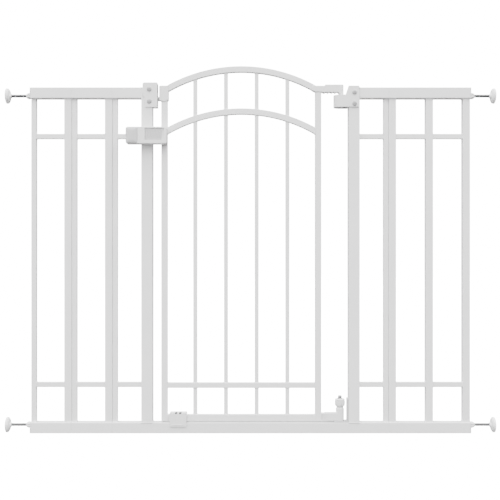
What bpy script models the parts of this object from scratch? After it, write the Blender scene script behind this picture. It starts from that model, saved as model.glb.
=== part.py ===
"""Pressure-fitted safety gate: a swinging arched door in a U frame, three side extensions
and four screw-out wall cups.

Units are metres, +Z is up, the front is -Y and the door opens towards the front.
The origin is on the floor, midway between the walls, in the middle of the tubes' depth.
"""

import math

import bmesh
import bpy
from mathutils import Matrix, Vector

# Fits
GAP = 0.0003  # between pieces that touch or are welded together
RUN = 0.0005  # round a piece that slides or turns
ROOT = 0.0010  # how far joined shapes run into each other
PAST = 0.0100  # how far a cutting shape runs past what it cuts
MERGE = 0.00001
TUBE_WALL = 0.0012

# Main frame
FRAME_WIDTH = 0.690
BEAM_HEIGHT = 0.0267
BEAM_DEPTH = 0.0270
FRAME_HEIGHT = 0.8623  # top of the beams and posts
POST_SIZE = 0.0280
POST_CENTRE = FRAME_WIDTH / 2 - 0.0867
UPRIGHT_THIN = 0.0127
UPRIGHT_WIDE = 0.0183
RAIL_SIZE = 0.0125
UPPER_RAIL_Z = FRAME_HEIGHT - 0.1212
LOWER_RAIL_Z = 0.1202

# Extensions
EXT_NARROW = 0.1016
EXT_WIDE = 0.2032
SPIGOT_LENGTH = 0.0250
SPIGOT_ROOTED = 0.0150  # how far a spigot reaches back into its own beam
SPIGOT_WALL = 0.0020
WALL_BITE = 0.0001  # how far a spigot's root runs into its beam's wall

# Door
HINGE_X = POST_CENTRE - POST_SIZE / 2 - 0.0203
DOOR_RIGHT = HINGE_X - 0.0470
DOOR_LEFT = POST_SIZE / 2 - POST_CENTRE + 0.0213
DOOR_WIDTH = DOOR_RIGHT - DOOR_LEFT
DOOR_CENTRE = (DOOR_LEFT + DOOR_RIGHT) / 2
DOOR_TOP = FRAME_HEIGHT + 0.0542
STILE_SIZE = 0.0155
ARCH_RISE = 0.057786
ARCH_RADIUS = (DOOR_WIDTH ** 2 / 4 + ARCH_RISE ** 2) / (2 * ARCH_RISE)
ARCH_SIZE = 0.0148
ARCH_DROP = 0.1054  # upper arch to lower arch
ARCH_STEPS = 22
SPINDLE_SIZE = 0.0100
SPINDLE_COUNT = 4
DOOR_LOW = BEAM_HEIGHT + 0.0038
BOTTOM_RAIL_HEIGHT = 0.0148
CROSS_RAIL_HEIGHT = 0.0130
CROSS_RAIL_DEPTH = 0.0135
CROSS_RAIL_Z = 0.1185

# Hinge
PLATE_THICK = 0.0030
SCREW_HEAD_DIA = 0.0115
SCREW_HEAD_THICK = 0.0024
SCREW_SHANK_DIA = 0.0050
SCREW_LENGTH = 0.0090
SCREW_POINT = 0.0015
BRACKET_RIGHT = POST_CENTRE + POST_SIZE / 2 - 0.0013
BRACKET_LOW = FRAME_HEIGHT - 0.0493
BRACKET_HIGH = FRAME_HEIGHT + 0.0037
BRACKET_REACH = 0.0072  # how far the plate stands out past the post, over the knuckle
BRACKET_SLANT = 0.0072
KNUCKLE_DIA = 0.0325
KNUCKLE_HIGH = FRAME_HEIGHT - 0.0183
HINGE_SCREW_X = POST_CENTRE + 0.0004
HINGE_SCREW_Z = (FRAME_HEIGHT - 0.0133, FRAME_HEIGHT - 0.0413)
TOP_PIN_DIA = 0.0080
TOP_PIN_HEAD_DIA = 0.0130
TOP_PIN_HEAD_THICK = 0.0025
ARM_DEPTH = 0.0185
ARM_LOW = FRAME_HEIGHT - 0.0163
ARM_HIGH = FRAME_HEIGHT + 0.0082
ARM_LEFT = DOOR_RIGHT + 0.0100
SADDLE_LEFT = DOOR_RIGHT - 0.0230
SADDLE_LOW = FRAME_HEIGHT - 0.0143
SADDLE_HIGH = FRAME_HEIGHT + 0.0052
FOOT_THICK = 0.0030
FOOT_LEFT = HINGE_X - 0.0160
SIDE_PLATE_HIGH = BEAM_HEIGHT + 0.0593
SIDE_PLATE_DEPTH = 0.0240
LOW_PIN_DIA = 0.0100
LOW_PIN_HIGH = BEAM_HEIGHT + 0.0663
SLEEVE_DIA = 0.0205
SLEEVE_HIGH = BEAM_HEIGHT + 0.0393
SLEEVE_ARM_HIGH = DOOR_LOW + 0.0195
SLEEVE_ARM_DEPTH = 0.0170
CHAMBER_DIA = 0.0160
CHAMBER_LOW = DOOR_LOW + 0.0095
KNOB_DIA = 0.0255
KNOB_HEIGHT = 0.0185
KNOB_RIBS = 18
KNOB_RIB_DEEP = 0.0010
SPRING_WIRE_DIA = 0.0012
SPRING_MEAN_DIA = 0.0132
SPRING_TURNS = 6
SPRING_STEPS = 14  # points on one turn

# Latch and handle
CATCH_LEFT = -POST_CENTRE - 0.0104
CATCH_RIGHT = -POST_CENTRE + 0.0263
CATCH_LOW = FRAME_HEIGHT - 0.0498
CATCH_HIGH = FRAME_HEIGHT + 0.0117
CATCH_STEP = 0.0055
CATCH_EAR = 0.0040
CATCH_BACK = 0.0100
CATCH_SCREW_X = -POST_CENTRE + 0.0063
CATCH_SCREW_Z = (FRAME_HEIGHT - 0.0057, FRAME_HEIGHT - 0.0358)
CORNER_LEFT = DOOR_LEFT - 0.0050
CORNER_RIGHT = DOOR_LEFT + 0.0180
CORNER_LOW = FRAME_HEIGHT - 0.0358
CORNER_HIGH = FRAME_HEIGHT + 0.0052
CORNER_DEPTH = 0.0210
CORNER_SAG = 0.0035
CORNER_STEPS = 8
BOLT_Z = FRAME_HEIGHT - 0.0273
BOLT_HEIGHT = 0.0100
BOLT_DEPTH = 0.0080
BOLT_LEFT = -POST_CENTRE + 0.0183
BOLT_LENGTH = 0.0210
BOLT_ROOM = 0.0012
HANDLE_LEFT = -POST_CENTRE - 0.0492
HANDLE_RIGHT = -POST_CENTRE + 0.0523
HANDLE_LOW = FRAME_HEIGHT - 0.1436
HANDLE_HIGH = FRAME_HEIGHT - 0.1018
HANDLE_DEPTH = 0.0260
HANDLE_WALL = 0.0025
HANDLE_CLEAR = 0.0008  # between the handle and the post it passes in front of
GRIP_WIDTH = 0.0320
GRIP_BULGE = 0.0040
GRIP_STEPS = 10
WINDOW_LEFT = -POST_CENTRE - 0.0017
WINDOW_RIGHT = -POST_CENTRE + 0.0444
WINDOW_LOW = HANDLE_LOW + 0.0110
WINDOW_HIGH = HANDLE_HIGH - 0.0050
SLIDE_TRAVEL = 0.0060
SLIDE_LIP = 0.0045
SLIDE_FLANGE = 0.0020
SLIDE_SUNK = 0.0008  # how far the thumb slide lies below the housing's face
HOOK_CLEAR = 0.0015
HOOK_THICK = 0.0065
HOOK_BACK = -0.0030
HOOK_LINK = 0.0030
HOOK_SPACE = 0.0015
HOOK_LOW = HANDLE_LOW + 0.0038
HOOK_HIGH = HANDLE_LOW + 0.0158

# Direction stop
STOP_LEFT = DOOR_LEFT + 0.0210
STOP_RIGHT = DOOR_LEFT + 0.0640
STOP_HIGH = DOOR_LOW + BOTTOM_RAIL_HEIGHT + 0.0057
STOP_FRONT = -0.0137
STOP_BACK = 0.0110
TAB_LOW = BEAM_HEIGHT - 0.0097
TAB_HIGH = STOP_HIGH + 0.0005
TAB_THICK = 0.0035
TAB_INSET = 0.0010
STOP_SLOTS = (0.34, 0.56)  # where the slots start, as shares of the clip's width
STOP_SLOT_WIDE = 0.0040
STOP_SLOT_DEEP = 0.0090
STOP_CLEAR = 0.0015  # between the clip and the bottom beam that it swings over
STOP_SKIN = 0.0035  # above the channel that holds the rail

# Wall fittings
ROD_DIA = 0.0080
ROD_INSIDE = 0.0450
ROD_OFFSET = 0.0062  # rod axis from the beam's centre, towards the gate's middle
CAP_FLANGE = 0.0018
CAP_PLUG = 0.0160
ROD_CHAMFER = 0.0010
NUT_LENGTH = 0.0100
NUT_DIA = 0.0170
NUT_LOBES = 6
NUT_LOBE_DEEP = 0.0014
PAD_START = 0.0500  # from the beam's end to the pad
PAD_THICK = 0.0092
PAD_DIA = 0.0330
CUP_DIA = 0.0385
CUP_THICK = 0.0055
CUP_RECESS = 0.0020
CUP_EDGE = 0.0020
CUP_TAPER = 0.0008
ROUND_STEPS = 24

HALF_FRAME = FRAME_WIDTH / 2
BEAM_LOW_Z = BEAM_HEIGHT / 2
BEAM_TOP_Z = FRAME_HEIGHT - BEAM_HEIGHT / 2
POST_OUTER = POST_CENTRE + POST_SIZE / 2
POST_INNER = POST_CENTRE - POST_SIZE / 2
POST_FRONT = -POST_SIZE / 2
ARCH_CENTRE_Z = DOOR_TOP - ARCH_SIZE / 2 - ARCH_RADIUS
SPAN_BETWEEN_SPINDLES = (DOOR_WIDTH - STILE_SIZE) / (SPINDLE_COUNT + 1)

for old in list(bpy.data.objects):
    bpy.data.objects.remove(old, do_unlink=True)

PARTS = bpy.data.collections.new("safety_gate")
CUTTERS = bpy.data.collections.new("cutters")
bpy.context.scene.collection.children.link(PARTS)
bpy.context.scene.collection.children.link(CUTTERS)
CUTTERS.hide_render = True


def material(name, colour, roughness, metallic=0.0):
    made = bpy.data.materials.new(name)
    made.use_nodes = True
    shader = made.node_tree.nodes["Principled BSDF"]
    shader.inputs["Base Color"].default_value = (*colour, 1.0)
    shader.inputs["Roughness"].default_value = roughness
    shader.inputs["Metallic"].default_value = metallic
    return made


WHITE_PAINT = material("white_powder_coat", (0.80, 0.80, 0.80), 0.42)
WHITE_PLASTIC = material("white_plastic", (0.82, 0.82, 0.82), 0.38)
GREY_PLASTIC = material("grey_plastic", (0.62, 0.62, 0.63), 0.45)
ZINC = material("zinc_steel", (0.50, 0.50, 0.51), 0.30, 0.9)


# Basic shapes, each a plain mesh in world coordinates

def mesh_from(bm, name):
    bmesh.ops.recalc_face_normals(bm, faces=bm.faces)
    made = bpy.data.meshes.new(name)
    bm.to_mesh(made)
    bm.free()
    return made


def box(low, high):
    bm = bmesh.new()
    size = Vector(high) - Vector(low)
    middle = (Vector(high) + Vector(low)) / 2
    place = Matrix.Translation(middle) @ Matrix.Diagonal((*size, 1.0))
    bmesh.ops.create_cube(bm, size=1.0, matrix=place)
    return mesh_from(bm, "box")


def cylinder(start, end, radius, sides=24):
    bm = bmesh.new()
    start, end = Vector(start), Vector(end)
    along = end - start
    turn = Vector((0, 0, 1)).rotation_difference(along).to_matrix().to_4x4()
    bmesh.ops.create_cone(
        bm,
        cap_ends=True,
        segments=sides,
        radius1=radius,
        radius2=radius,
        depth=along.length,
        matrix=Matrix.Translation((start + end) / 2) @ turn,
    )
    return mesh_from(bm, "cylinder")


def slab(outline, low_y, high_y):
    """An outline of (x, z) points, extruded from low_y to high_y."""
    bm = bmesh.new()
    face = bm.faces.new([bm.verts.new((x, low_y, z)) for x, z in outline])
    grown = bmesh.ops.extrude_face_region(bm, geom=[face])
    moved = [item for item in grown["geom"] if isinstance(item, bmesh.types.BMVert)]
    bmesh.ops.translate(bm, vec=(0, high_y - low_y, 0), verts=moved)
    return mesh_from(bm, "slab")


def plate(outline, low_z, high_z):
    """An outline of (x, y) points, extruded from low_z to high_z."""
    made = slab(outline, low_z, high_z)
    made.transform(Matrix(((1, 0, 0, 0), (0, 0, 1, 0), (0, 1, 0, 0), (0, 0, 0, 1))))
    made.flip_normals()
    return made


def arc_points(centre, radius, start_deg, end_deg, steps):
    angles = [math.radians(start_deg + (end_deg - start_deg) * i / steps) for i in range(steps + 1)]
    return [(centre[0] + radius * math.cos(a), centre[1] + radius * math.sin(a)) for a in angles]


def cutter(mesh):
    held = bpy.data.objects.new("cutter", mesh)
    held.hide_render = True
    held.display_type = "WIRE"
    CUTTERS.objects.link(held)
    return held


def part(name, mesh, finish, cuts=(), joins=(), bevel=0.0, origin=(0, 0, 0)):
    """One piece: its mesh, joined with some shapes, then cut by others, then its edges eased."""
    mesh.name = name
    mesh.transform(Matrix.Translation(-Vector(origin)))
    made = bpy.data.objects.new(name, mesh)
    made.location = origin
    made.data.materials.append(finish)
    PARTS.objects.link(made)
    for operation, shapes in (("UNION", joins), ("DIFFERENCE", cuts)):
        for shape in shapes:
            step = made.modifiers.new(operation.lower(), "BOOLEAN")
            step.operation = operation
            step.object = cutter(shape)
    if bevel:
        eased = made.modifiers.new("eased_edges", "BEVEL")
        eased.width = bevel
        eased.segments = 1
        eased.limit_method = "ANGLE"
    return made


def turned(name, profile, finish, centre, turn_y=0.0, turn_x=0.0, cuts=()):
    """A shape turned about Z from (radius, height) points, top to bottom, then turned and placed."""
    bm = bmesh.new()
    points = [bm.verts.new((radius, 0, height)) for radius, height in profile]
    loop = points + [points[0]] if profile[0][0] > 0 else points
    for first, second in zip(loop, loop[1:]):
        bm.edges.new((first, second))
    mesh = bpy.data.meshes.new(name)
    bm.to_mesh(mesh)
    bm.free()
    made = bpy.data.objects.new(name, mesh)
    made.location = centre
    made.rotation_euler = (turn_x, turn_y, 0)
    made.data.materials.append(finish)
    PARTS.objects.link(made)
    spin = made.modifiers.new("turned", "SCREW")
    spin.steps = spin.render_steps = ROUND_STEPS
    spin.use_merge_vertices = True
    spin.merge_threshold = MERGE
    for shape in cuts:
        step = made.modifiers.new("difference", "BOOLEAN")
        step.operation = "DIFFERENCE"
        step.object = cutter(shape)
    return made


def lobed(centre, radius, depth, lobes, steps_a_lobe=6):
    """A closed outline that swells and narrows a number of times on its way round."""
    count = lobes * steps_a_lobe
    points = []
    for step in range(count):
        angle = 2 * math.pi * step / count
        reach = radius - depth / 2 + depth / 2 * math.cos(lobes * angle)
        points.append((centre[0] + reach * math.cos(angle), centre[1] + reach * math.sin(angle)))
    return points


def tube_x(name, left, right, z, height, depth, y=0.0):
    """A square tube along X, open at both ends."""
    low, high = (left, y - depth / 2, z - height / 2), (right, y + depth / 2, z + height / 2)
    hollow = box(
        (left - PAST, low[1] + TUBE_WALL, low[2] + TUBE_WALL),
        (right + PAST, high[1] - TUBE_WALL, high[2] - TUBE_WALL),
    )
    return part(name, box(low, high), WHITE_PAINT, cuts=[hollow])


# Frame and extensions

def beams_of(name, left, right, spigot_side):
    """The top and bottom beams of one extension, with spigots that fill the next beam's end.

    A spigot is an anchor that is one with its own beam's wall and a slimmer tongue beyond it.
    """
    end = right if spigot_side > 0 else left

    def x_box(near, far, half_y, half_z, z):
        first, last = sorted((end + spigot_side * near, end + spigot_side * far))
        return box((first, -half_y, z - half_z), (last, half_y, z + half_z))

    rooted_y, rooted_z = (size / 2 - TUBE_WALL + WALL_BITE for size in (BEAM_DEPTH, BEAM_HEIGHT))
    slim_y, slim_z = (size / 2 - TUBE_WALL - GAP for size in (BEAM_DEPTH, BEAM_HEIGHT))
    for level, z in (("top", BEAM_TOP_Z), ("bottom", BEAM_LOW_Z)):
        beam = tube_x(f"{name}_{level}_beam", left, right, z, BEAM_HEIGHT, BEAM_DEPTH)
        anchor = x_box(-SPIGOT_ROOTED, -RUN, rooted_y, rooted_z, z)
        tongue = x_box(-SPIGOT_ROOTED + ROOT, SPIGOT_LENGTH, slim_y, slim_z, z)
        bore = x_box(-SPIGOT_ROOTED - PAST, SPIGOT_LENGTH + PAST,
                     slim_y - SPIGOT_WALL, slim_z - SPIGOT_WALL, z)
        for operation, shape in (("UNION", anchor), ("UNION", tongue), ("DIFFERENCE", bore)):
            step = beam.modifiers.new(operation.lower(), "BOOLEAN")
            step.operation = operation
            step.object = cutter(shape)


def ladder(name, uprights, rail_left, rail_right):
    """Uprights joined by an upper and a lower rail. uprights are (left, right, depth)."""
    low_z = BEAM_HEIGHT + GAP
    high_z = FRAME_HEIGHT - BEAM_HEIGHT - GAP
    shapes, hollows = [], []
    for left, right, depth in uprights:
        half = depth / 2
        bore = half - TUBE_WALL
        shapes.append(box((left, -half, low_z), (right, half, high_z)))
        hollows.append(box((left + TUBE_WALL, -bore, low_z - PAST),
                           (right - TUBE_WALL, bore, high_z + PAST)))
    for z in (UPPER_RAIL_Z, LOWER_RAIL_Z):
        half = RAIL_SIZE / 2
        bore = half - TUBE_WALL
        shapes.append(box((rail_left, -half, z - half), (rail_right, half, z + half)))
        hollows.append(box((rail_left - ROOT, -bore, z - bore), (rail_right + ROOT, bore, z + bore)))
    return part(name, shapes[0], WHITE_PAINT, joins=shapes[1:], cuts=hollows)


def main_frame():
    tube_x("bottom_beam", -HALF_FRAME, HALF_FRAME, BEAM_LOW_Z, BEAM_HEIGHT, BEAM_DEPTH)
    for side, sign in (("left", -1), ("right", 1)):
        centre = sign * POST_CENTRE
        inner = POST_SIZE / 2 - TUBE_WALL
        shell = box((centre - POST_SIZE / 2, -POST_SIZE / 2, BEAM_HEIGHT + GAP),
                    (centre + POST_SIZE / 2, POST_SIZE / 2, FRAME_HEIGHT))
        hollow = box((centre - inner, -inner, 0), (centre + inner, inner, FRAME_HEIGHT - TUBE_WALL))
        screw_x, screw_z = (CATCH_SCREW_X, CATCH_SCREW_Z) if sign < 0 else (HINGE_SCREW_X, HINGE_SCREW_Z)
        holes = [screw_hole(screw_x, z) for z in screw_z]
        part(f"{side}_post", shell, WHITE_PAINT, cuts=[hollow, *holes])
        ends = sorted((sign * (POST_OUTER + GAP), sign * HALF_FRAME))
        tube_x(f"{side}_top_beam", *ends, BEAM_TOP_Z, BEAM_HEIGHT, BEAM_DEPTH)
        upright = sorted((sign * (HALF_FRAME - UPRIGHT_THIN), sign * HALF_FRAME))
        rail = sorted((sign * (POST_OUTER + GAP), sign * (HALF_FRAME - UPRIGHT_THIN / 2)))
        ladder(f"{side}_side_ladder", [(*upright, UPRIGHT_THIN)], *rail)


def extensions():
    right_edge = -HALF_FRAME
    for name in ("inner_left_extension", "outer_left_extension"):
        right = right_edge - GAP
        left = right_edge - EXT_NARROW
        beams_of(name, left, right, spigot_side=1)
        ladder(f"{name}_ladder",
               [(left, left + UPRIGHT_THIN, UPRIGHT_THIN), (right - UPRIGHT_WIDE, right, UPRIGHT_WIDE)],
               left + UPRIGHT_THIN / 2, right - UPRIGHT_WIDE / 2)
        right_edge = left
    left = HALF_FRAME + GAP
    right = HALF_FRAME + EXT_WIDE
    middle = (left + right) / 2
    beams_of("right_extension", left, right, spigot_side=-1)
    starts = (left, middle - UPRIGHT_WIDE / 2, right - UPRIGHT_WIDE)
    ladder("right_extension_ladder", [(x, x + UPRIGHT_WIDE, UPRIGHT_WIDE) for x in starts],
           left + UPRIGHT_WIDE / 2, right - UPRIGHT_WIDE / 2)


# Door

def arch_outline(radius, half_span, drop=0.0, steps=ARCH_STEPS):
    """Points along one edge of an arch, from its left end to its right end."""
    reach = math.degrees(math.asin(half_span / radius))
    centre = (DOOR_CENTRE, ARCH_CENTRE_Z - drop)
    return arc_points(centre, radius, 90 + reach, 90 - reach, steps)


def arch_band(half_span, drop, thick, depth, overrun=0.0):
    outer = arch_outline(ARCH_RADIUS + thick / 2, half_span + overrun, drop)
    inner = arch_outline(ARCH_RADIUS - thick / 2, half_span + overrun, drop)
    return slab(outer + inner[::-1], -depth / 2, depth / 2)


def arch_clearance(depth=2 * STILE_SIZE):
    """The upper arch's outside with a weld gap round it, run out past both ends."""
    return arch_band(DOOR_WIDTH / 2, 0, ARCH_SIZE + 2 * GAP, depth, PAST / 2)


def spindle_centres():
    first = DOOR_CENTRE - SPAN_BETWEEN_SPINDLES * (SPINDLE_COUNT - 1) / 2
    return [first + SPAN_BETWEEN_SPINDLES * i for i in range(SPINDLE_COUNT)]


def spindle_box(x, grow, low_z, high_z):
    half = SPINDLE_SIZE / 2 + grow
    return box((x - half, -half, low_z), (x + half, half, high_z))


def door():
    low, high = DOOR_LOW, DOOR_LOW + BOTTOM_RAIL_HEIGHT
    half = STILE_SIZE / 2
    top = DOOR_TOP
    left, right = DOOR_LEFT, DOOR_RIGHT
    bore = half - TUBE_WALL
    inner_left = left + half
    inner_right = right - half
    frame_cuts = [
        box((inner_left - bore, -bore, low + TUBE_WALL), (inner_left + bore, bore, top + PAST)),
        box((inner_right - bore, -bore, low + TUBE_WALL), (inner_right + bore, bore, top + PAST)),
        box((inner_left, -bore, low + TUBE_WALL), (inner_right, bore, high - TUBE_WALL)),
        arch_clearance(),
        box((left - PAST, -STILE_SIZE, stile_top()), (right + PAST, STILE_SIZE, top + PAST)),
        bolt_passage(),
    ]
    frame_joins = [
        box((right - STILE_SIZE, -half, low), (right, half, top)),
        box((left + half, -half, low), (right - half, half, high)),
    ]
    part("door_frame", box((left, -half, low), (left + STILE_SIZE, half, top)), WHITE_PAINT,
         cuts=frame_cuts, joins=frame_joins)
    holes = [spindle_box(x, GAP, low, top) for x in spindle_centres()]
    part("upper_arch", arch_band(DOOR_WIDTH / 2, 0, ARCH_SIZE, ARCH_SIZE), WHITE_PAINT,
         cuts=[arch_band(DOOR_WIDTH / 2, 0, ARCH_SIZE - 2 * TUBE_WALL,
                         ARCH_SIZE - 2 * TUBE_WALL, PAST)])
    inside = DOOR_WIDTH / 2 - STILE_SIZE - GAP
    part("lower_arch", arch_band(inside, ARCH_DROP, ARCH_SIZE, ARCH_SIZE), WHITE_PAINT,
         cuts=[arch_band(inside, ARCH_DROP, ARCH_SIZE - 2 * TUBE_WALL,
                         ARCH_SIZE - 2 * TUBE_WALL, PAST), *holes])
    rail_left, rail_right = DOOR_CENTRE - inside, DOOR_CENTRE + inside
    half_depth, half_height = CROSS_RAIL_DEPTH / 2, CROSS_RAIL_HEIGHT / 2
    hollow = box((rail_left - PAST, -half_depth + TUBE_WALL, CROSS_RAIL_Z - half_height + TUBE_WALL),
                 (rail_right + PAST, half_depth - TUBE_WALL, CROSS_RAIL_Z + half_height - TUBE_WALL))
    part("door_cross_rail",
         box((rail_left, -half_depth, CROSS_RAIL_Z - half_height),
             (rail_right, half_depth, CROSS_RAIL_Z + half_height)),
         WHITE_PAINT, cuts=[hollow, *[spindle_box(x, GAP, low, top) for x in spindle_centres()]])
    for number, x in enumerate(spindle_centres(), 1):
        part(f"spindle_{number}", spindle_box(x, 0, high + GAP, top), WHITE_PAINT,
             cuts=[spindle_box(x, -TUBE_WALL, low, top + PAST), arch_clearance(), spindle_trim(x)])


def stile_top():
    """Where a stile is trimmed: just below the middle of the arch above it."""
    reach = DOOR_WIDTH / 2
    return ARCH_CENTRE_Z + math.sqrt(ARCH_RADIUS ** 2 - reach ** 2)


def spindle_trim(x):
    """All that is above the upper arch at a spindle, so that nothing is left over it."""
    offset = abs(x - DOOR_CENTRE)
    middle = ARCH_CENTRE_Z + math.sqrt(ARCH_RADIUS ** 2 - offset ** 2)
    return box((x - SPINDLE_SIZE, -SPINDLE_SIZE, middle), (x + SPINDLE_SIZE, SPINDLE_SIZE, DOOR_TOP + PAST))


def bolt_passage():
    """The slot in the latch stile that the top bolt passes through."""
    return box((DOOR_LEFT - PAST, -BOLT_DEPTH / 2 - RUN, BOLT_Z - BOLT_HEIGHT / 2 - RUN),
               (DOOR_LEFT + STILE_SIZE / 2, BOLT_DEPTH / 2 + RUN, BOLT_Z + BOLT_HEIGHT / 2 + RUN))


# Hinge side

def screw(name, x, z):
    """A pan-head screw in the front of a post, with its head on the plate that it holds."""
    head, shank, high = SCREW_HEAD_DIA / 2, SCREW_SHANK_DIA / 2, SCREW_HEAD_THICK
    crown = [(0, high), (head * 0.6, high), (head * 0.9, high * 0.7), (head, 0)]
    profile = crown + [(shank, 0), (shank, -SCREW_LENGTH), (0, -SCREW_LENGTH - SCREW_POINT)]
    face = POST_FRONT - GAP - PLATE_THICK - GAP
    turned(name, profile, ZINC, (x, face, z), turn_x=math.pi / 2)


def screw_hole(x, z):
    return cylinder((x, POST_FRONT - PAST, z), (x, 0, z), SCREW_SHANK_DIA / 2 + GAP)


def top_hinge():
    knuckle = KNUCKLE_DIA / 2
    face = POST_FRONT - GAP
    front = face - PLATE_THICK
    wall = POST_INNER - GAP
    round_end = arc_points((HINGE_X, 0), knuckle, 270, 90, 14)
    plan = [(BRACKET_RIGHT, face), (BRACKET_RIGHT, front), (HINGE_X + knuckle * 0.5, front)]
    plan += round_end[1:] + [(wall, knuckle), (wall, face)]
    knuckle_block = plate(plan, BRACKET_LOW, KNUCKLE_HIGH)
    left = wall - BRACKET_REACH
    face_plate = slab([(left, BRACKET_LOW), (BRACKET_RIGHT, BRACKET_LOW),
                       (BRACKET_RIGHT, BRACKET_HIGH), (left + BRACKET_SLANT, BRACKET_HIGH),
                       (left, KNUCKLE_HIGH)], front, face)
    pin_hole = cylinder((HINGE_X, 0, BRACKET_LOW - PAST), (HINGE_X, 0, ARM_HIGH),
                        TOP_PIN_DIA / 2 + GAP)
    holes = [screw_hole(HINGE_SCREW_X, z) for z in HINGE_SCREW_Z]
    part("hinge_bracket", knuckle_block, WHITE_PLASTIC, joins=[face_plate], cuts=[pin_hole, *holes])
    for level, z in zip(("upper", "lower"), HINGE_SCREW_Z):
        screw(f"hinge_screw_{level}", HINGE_SCREW_X, z)

    half = ARM_DEPTH / 2
    tip = arc_points((HINGE_X, 0), half, -90, 90, 12)
    arm = plate([(ARM_LEFT, -half), *tip, (ARM_LEFT, half)], ARM_LOW, ARM_HIGH)
    saddle = box((SADDLE_LEFT, -half, SADDLE_LOW), (ARM_LEFT + ROOT, half, SADDLE_HIGH))
    arm_hole = cylinder((HINGE_X, 0, ARM_LOW - PAST), (HINGE_X, 0, ARM_HIGH + PAST),
                        TOP_PIN_DIA / 2 + RUN)
    head_z = ARM_HIGH - TOP_PIN_HEAD_THICK
    head_seat = cylinder((HINGE_X, 0, head_z - RUN), (HINGE_X, 0, ARM_HIGH + PAST),
                         TOP_PIN_HEAD_DIA / 2 + RUN)
    stile = box((DOOR_RIGHT - STILE_SIZE - GAP, -STILE_SIZE / 2 - GAP, SADDLE_LOW - PAST),
                (DOOR_RIGHT + GAP, STILE_SIZE / 2 + GAP, stile_top() + GAP))
    part("hinge_arm", arm, WHITE_PLASTIC, joins=[saddle],
         cuts=[arm_hole, head_seat, stile, arch_clearance(ARCH_SIZE + 2 * GAP)], origin=(HINGE_X, 0, ARM_LOW))

    crown_z = ARM_HIGH
    shank, head = TOP_PIN_DIA / 2, TOP_PIN_HEAD_DIA / 2
    turned("top_hinge_pin",
           [(0, crown_z), (head * 0.8, crown_z), (head, (head_z + crown_z) / 2),
            (head, head_z), (shank, head_z), (shank, BRACKET_LOW), (0, BRACKET_LOW)],
           ZINC, (HINGE_X, 0, 0))


def lower_hinge():
    base = BEAM_HEIGHT + GAP
    wall = POST_INNER - GAP
    half = SIDE_PLATE_DEPTH / 2
    pin = LOW_PIN_DIA / 2
    foot = box((FOOT_LEFT, -half, base), (wall, half, base + FOOT_THICK))
    side = box((wall - PLATE_THICK, -half, base), (wall, half, SIDE_PLATE_HIGH))
    seat = cylinder((HINGE_X, 0, 0), (HINGE_X, 0, SLEEVE_HIGH), pin + GAP)
    part("lower_hinge_bracket", foot, WHITE_PAINT, joins=[side], cuts=[seat])
    turned("lower_hinge_pin",
           [(0, LOW_PIN_HIGH), (pin * 0.7, LOW_PIN_HIGH), (pin, LOW_PIN_HIGH - pin * 0.3),
            (pin, base + GAP), (0, base + GAP)], ZINC, (HINGE_X, 0, 0))

    low = base + FOOT_THICK + RUN
    barrel = cylinder((HINGE_X, 0, low), (HINGE_X, 0, SLEEVE_HIGH), SLEEVE_DIA / 2)
    depth = SLEEVE_ARM_DEPTH / 2
    arm = box((DOOR_RIGHT + GAP, -depth, low), (HINGE_X, depth, SLEEVE_ARM_HIGH))
    bore = cylinder((HINGE_X, 0, low - PAST), (HINGE_X, 0, SLEEVE_HIGH + PAST), pin + RUN)
    chamber = cylinder((HINGE_X, 0, CHAMBER_LOW), (HINGE_X, 0, SLEEVE_HIGH + PAST), CHAMBER_DIA / 2)
    part("lower_hinge_sleeve", barrel, WHITE_PLASTIC, joins=[arm], cuts=[bore, chamber],
         origin=(HINGE_X, 0, low))

    knob_low = SLEEVE_HIGH + RUN
    knob = plate(lobed((HINGE_X, 0), KNOB_DIA / 2, KNOB_RIB_DEEP, KNOB_RIBS, 4),
                 knob_low, knob_low + KNOB_HEIGHT)
    part("tension_knob", knob, WHITE_PLASTIC,
         cuts=[cylinder((HINGE_X, 0, low), (HINGE_X, 0, LOW_PIN_HIGH + PAST), pin + RUN)], origin=(HINGE_X, 0, knob_low))
    closing_spring()


def closing_spring():
    low = CHAMBER_LOW + SPRING_WIRE_DIA / 2 + GAP
    high = SLEEVE_HIGH - SPRING_WIRE_DIA / 2 - GAP
    steps = SPRING_STEPS * SPRING_TURNS
    curve = bpy.data.curves.new("closing_spring", "CURVE")
    curve.dimensions = "3D"
    curve.bevel_depth = SPRING_WIRE_DIA / 2
    curve.bevel_resolution = 1
    curve.use_fill_caps = True
    coil = curve.splines.new("POLY")
    coil.points.add(steps)
    for step, point in enumerate(coil.points):
        angle = 2 * math.pi * SPRING_TURNS * step / steps
        reach = SPRING_MEAN_DIA / 2
        height = low + (high - low) * step / steps
        point.co = (reach * math.cos(angle), reach * math.sin(angle), height, 1)
    made = bpy.data.objects.new("closing_spring", curve)
    made.location = (HINGE_X, 0, 0)
    made.data.materials.append(ZINC)
    PARTS.objects.link(made)


# Latch side

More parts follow.
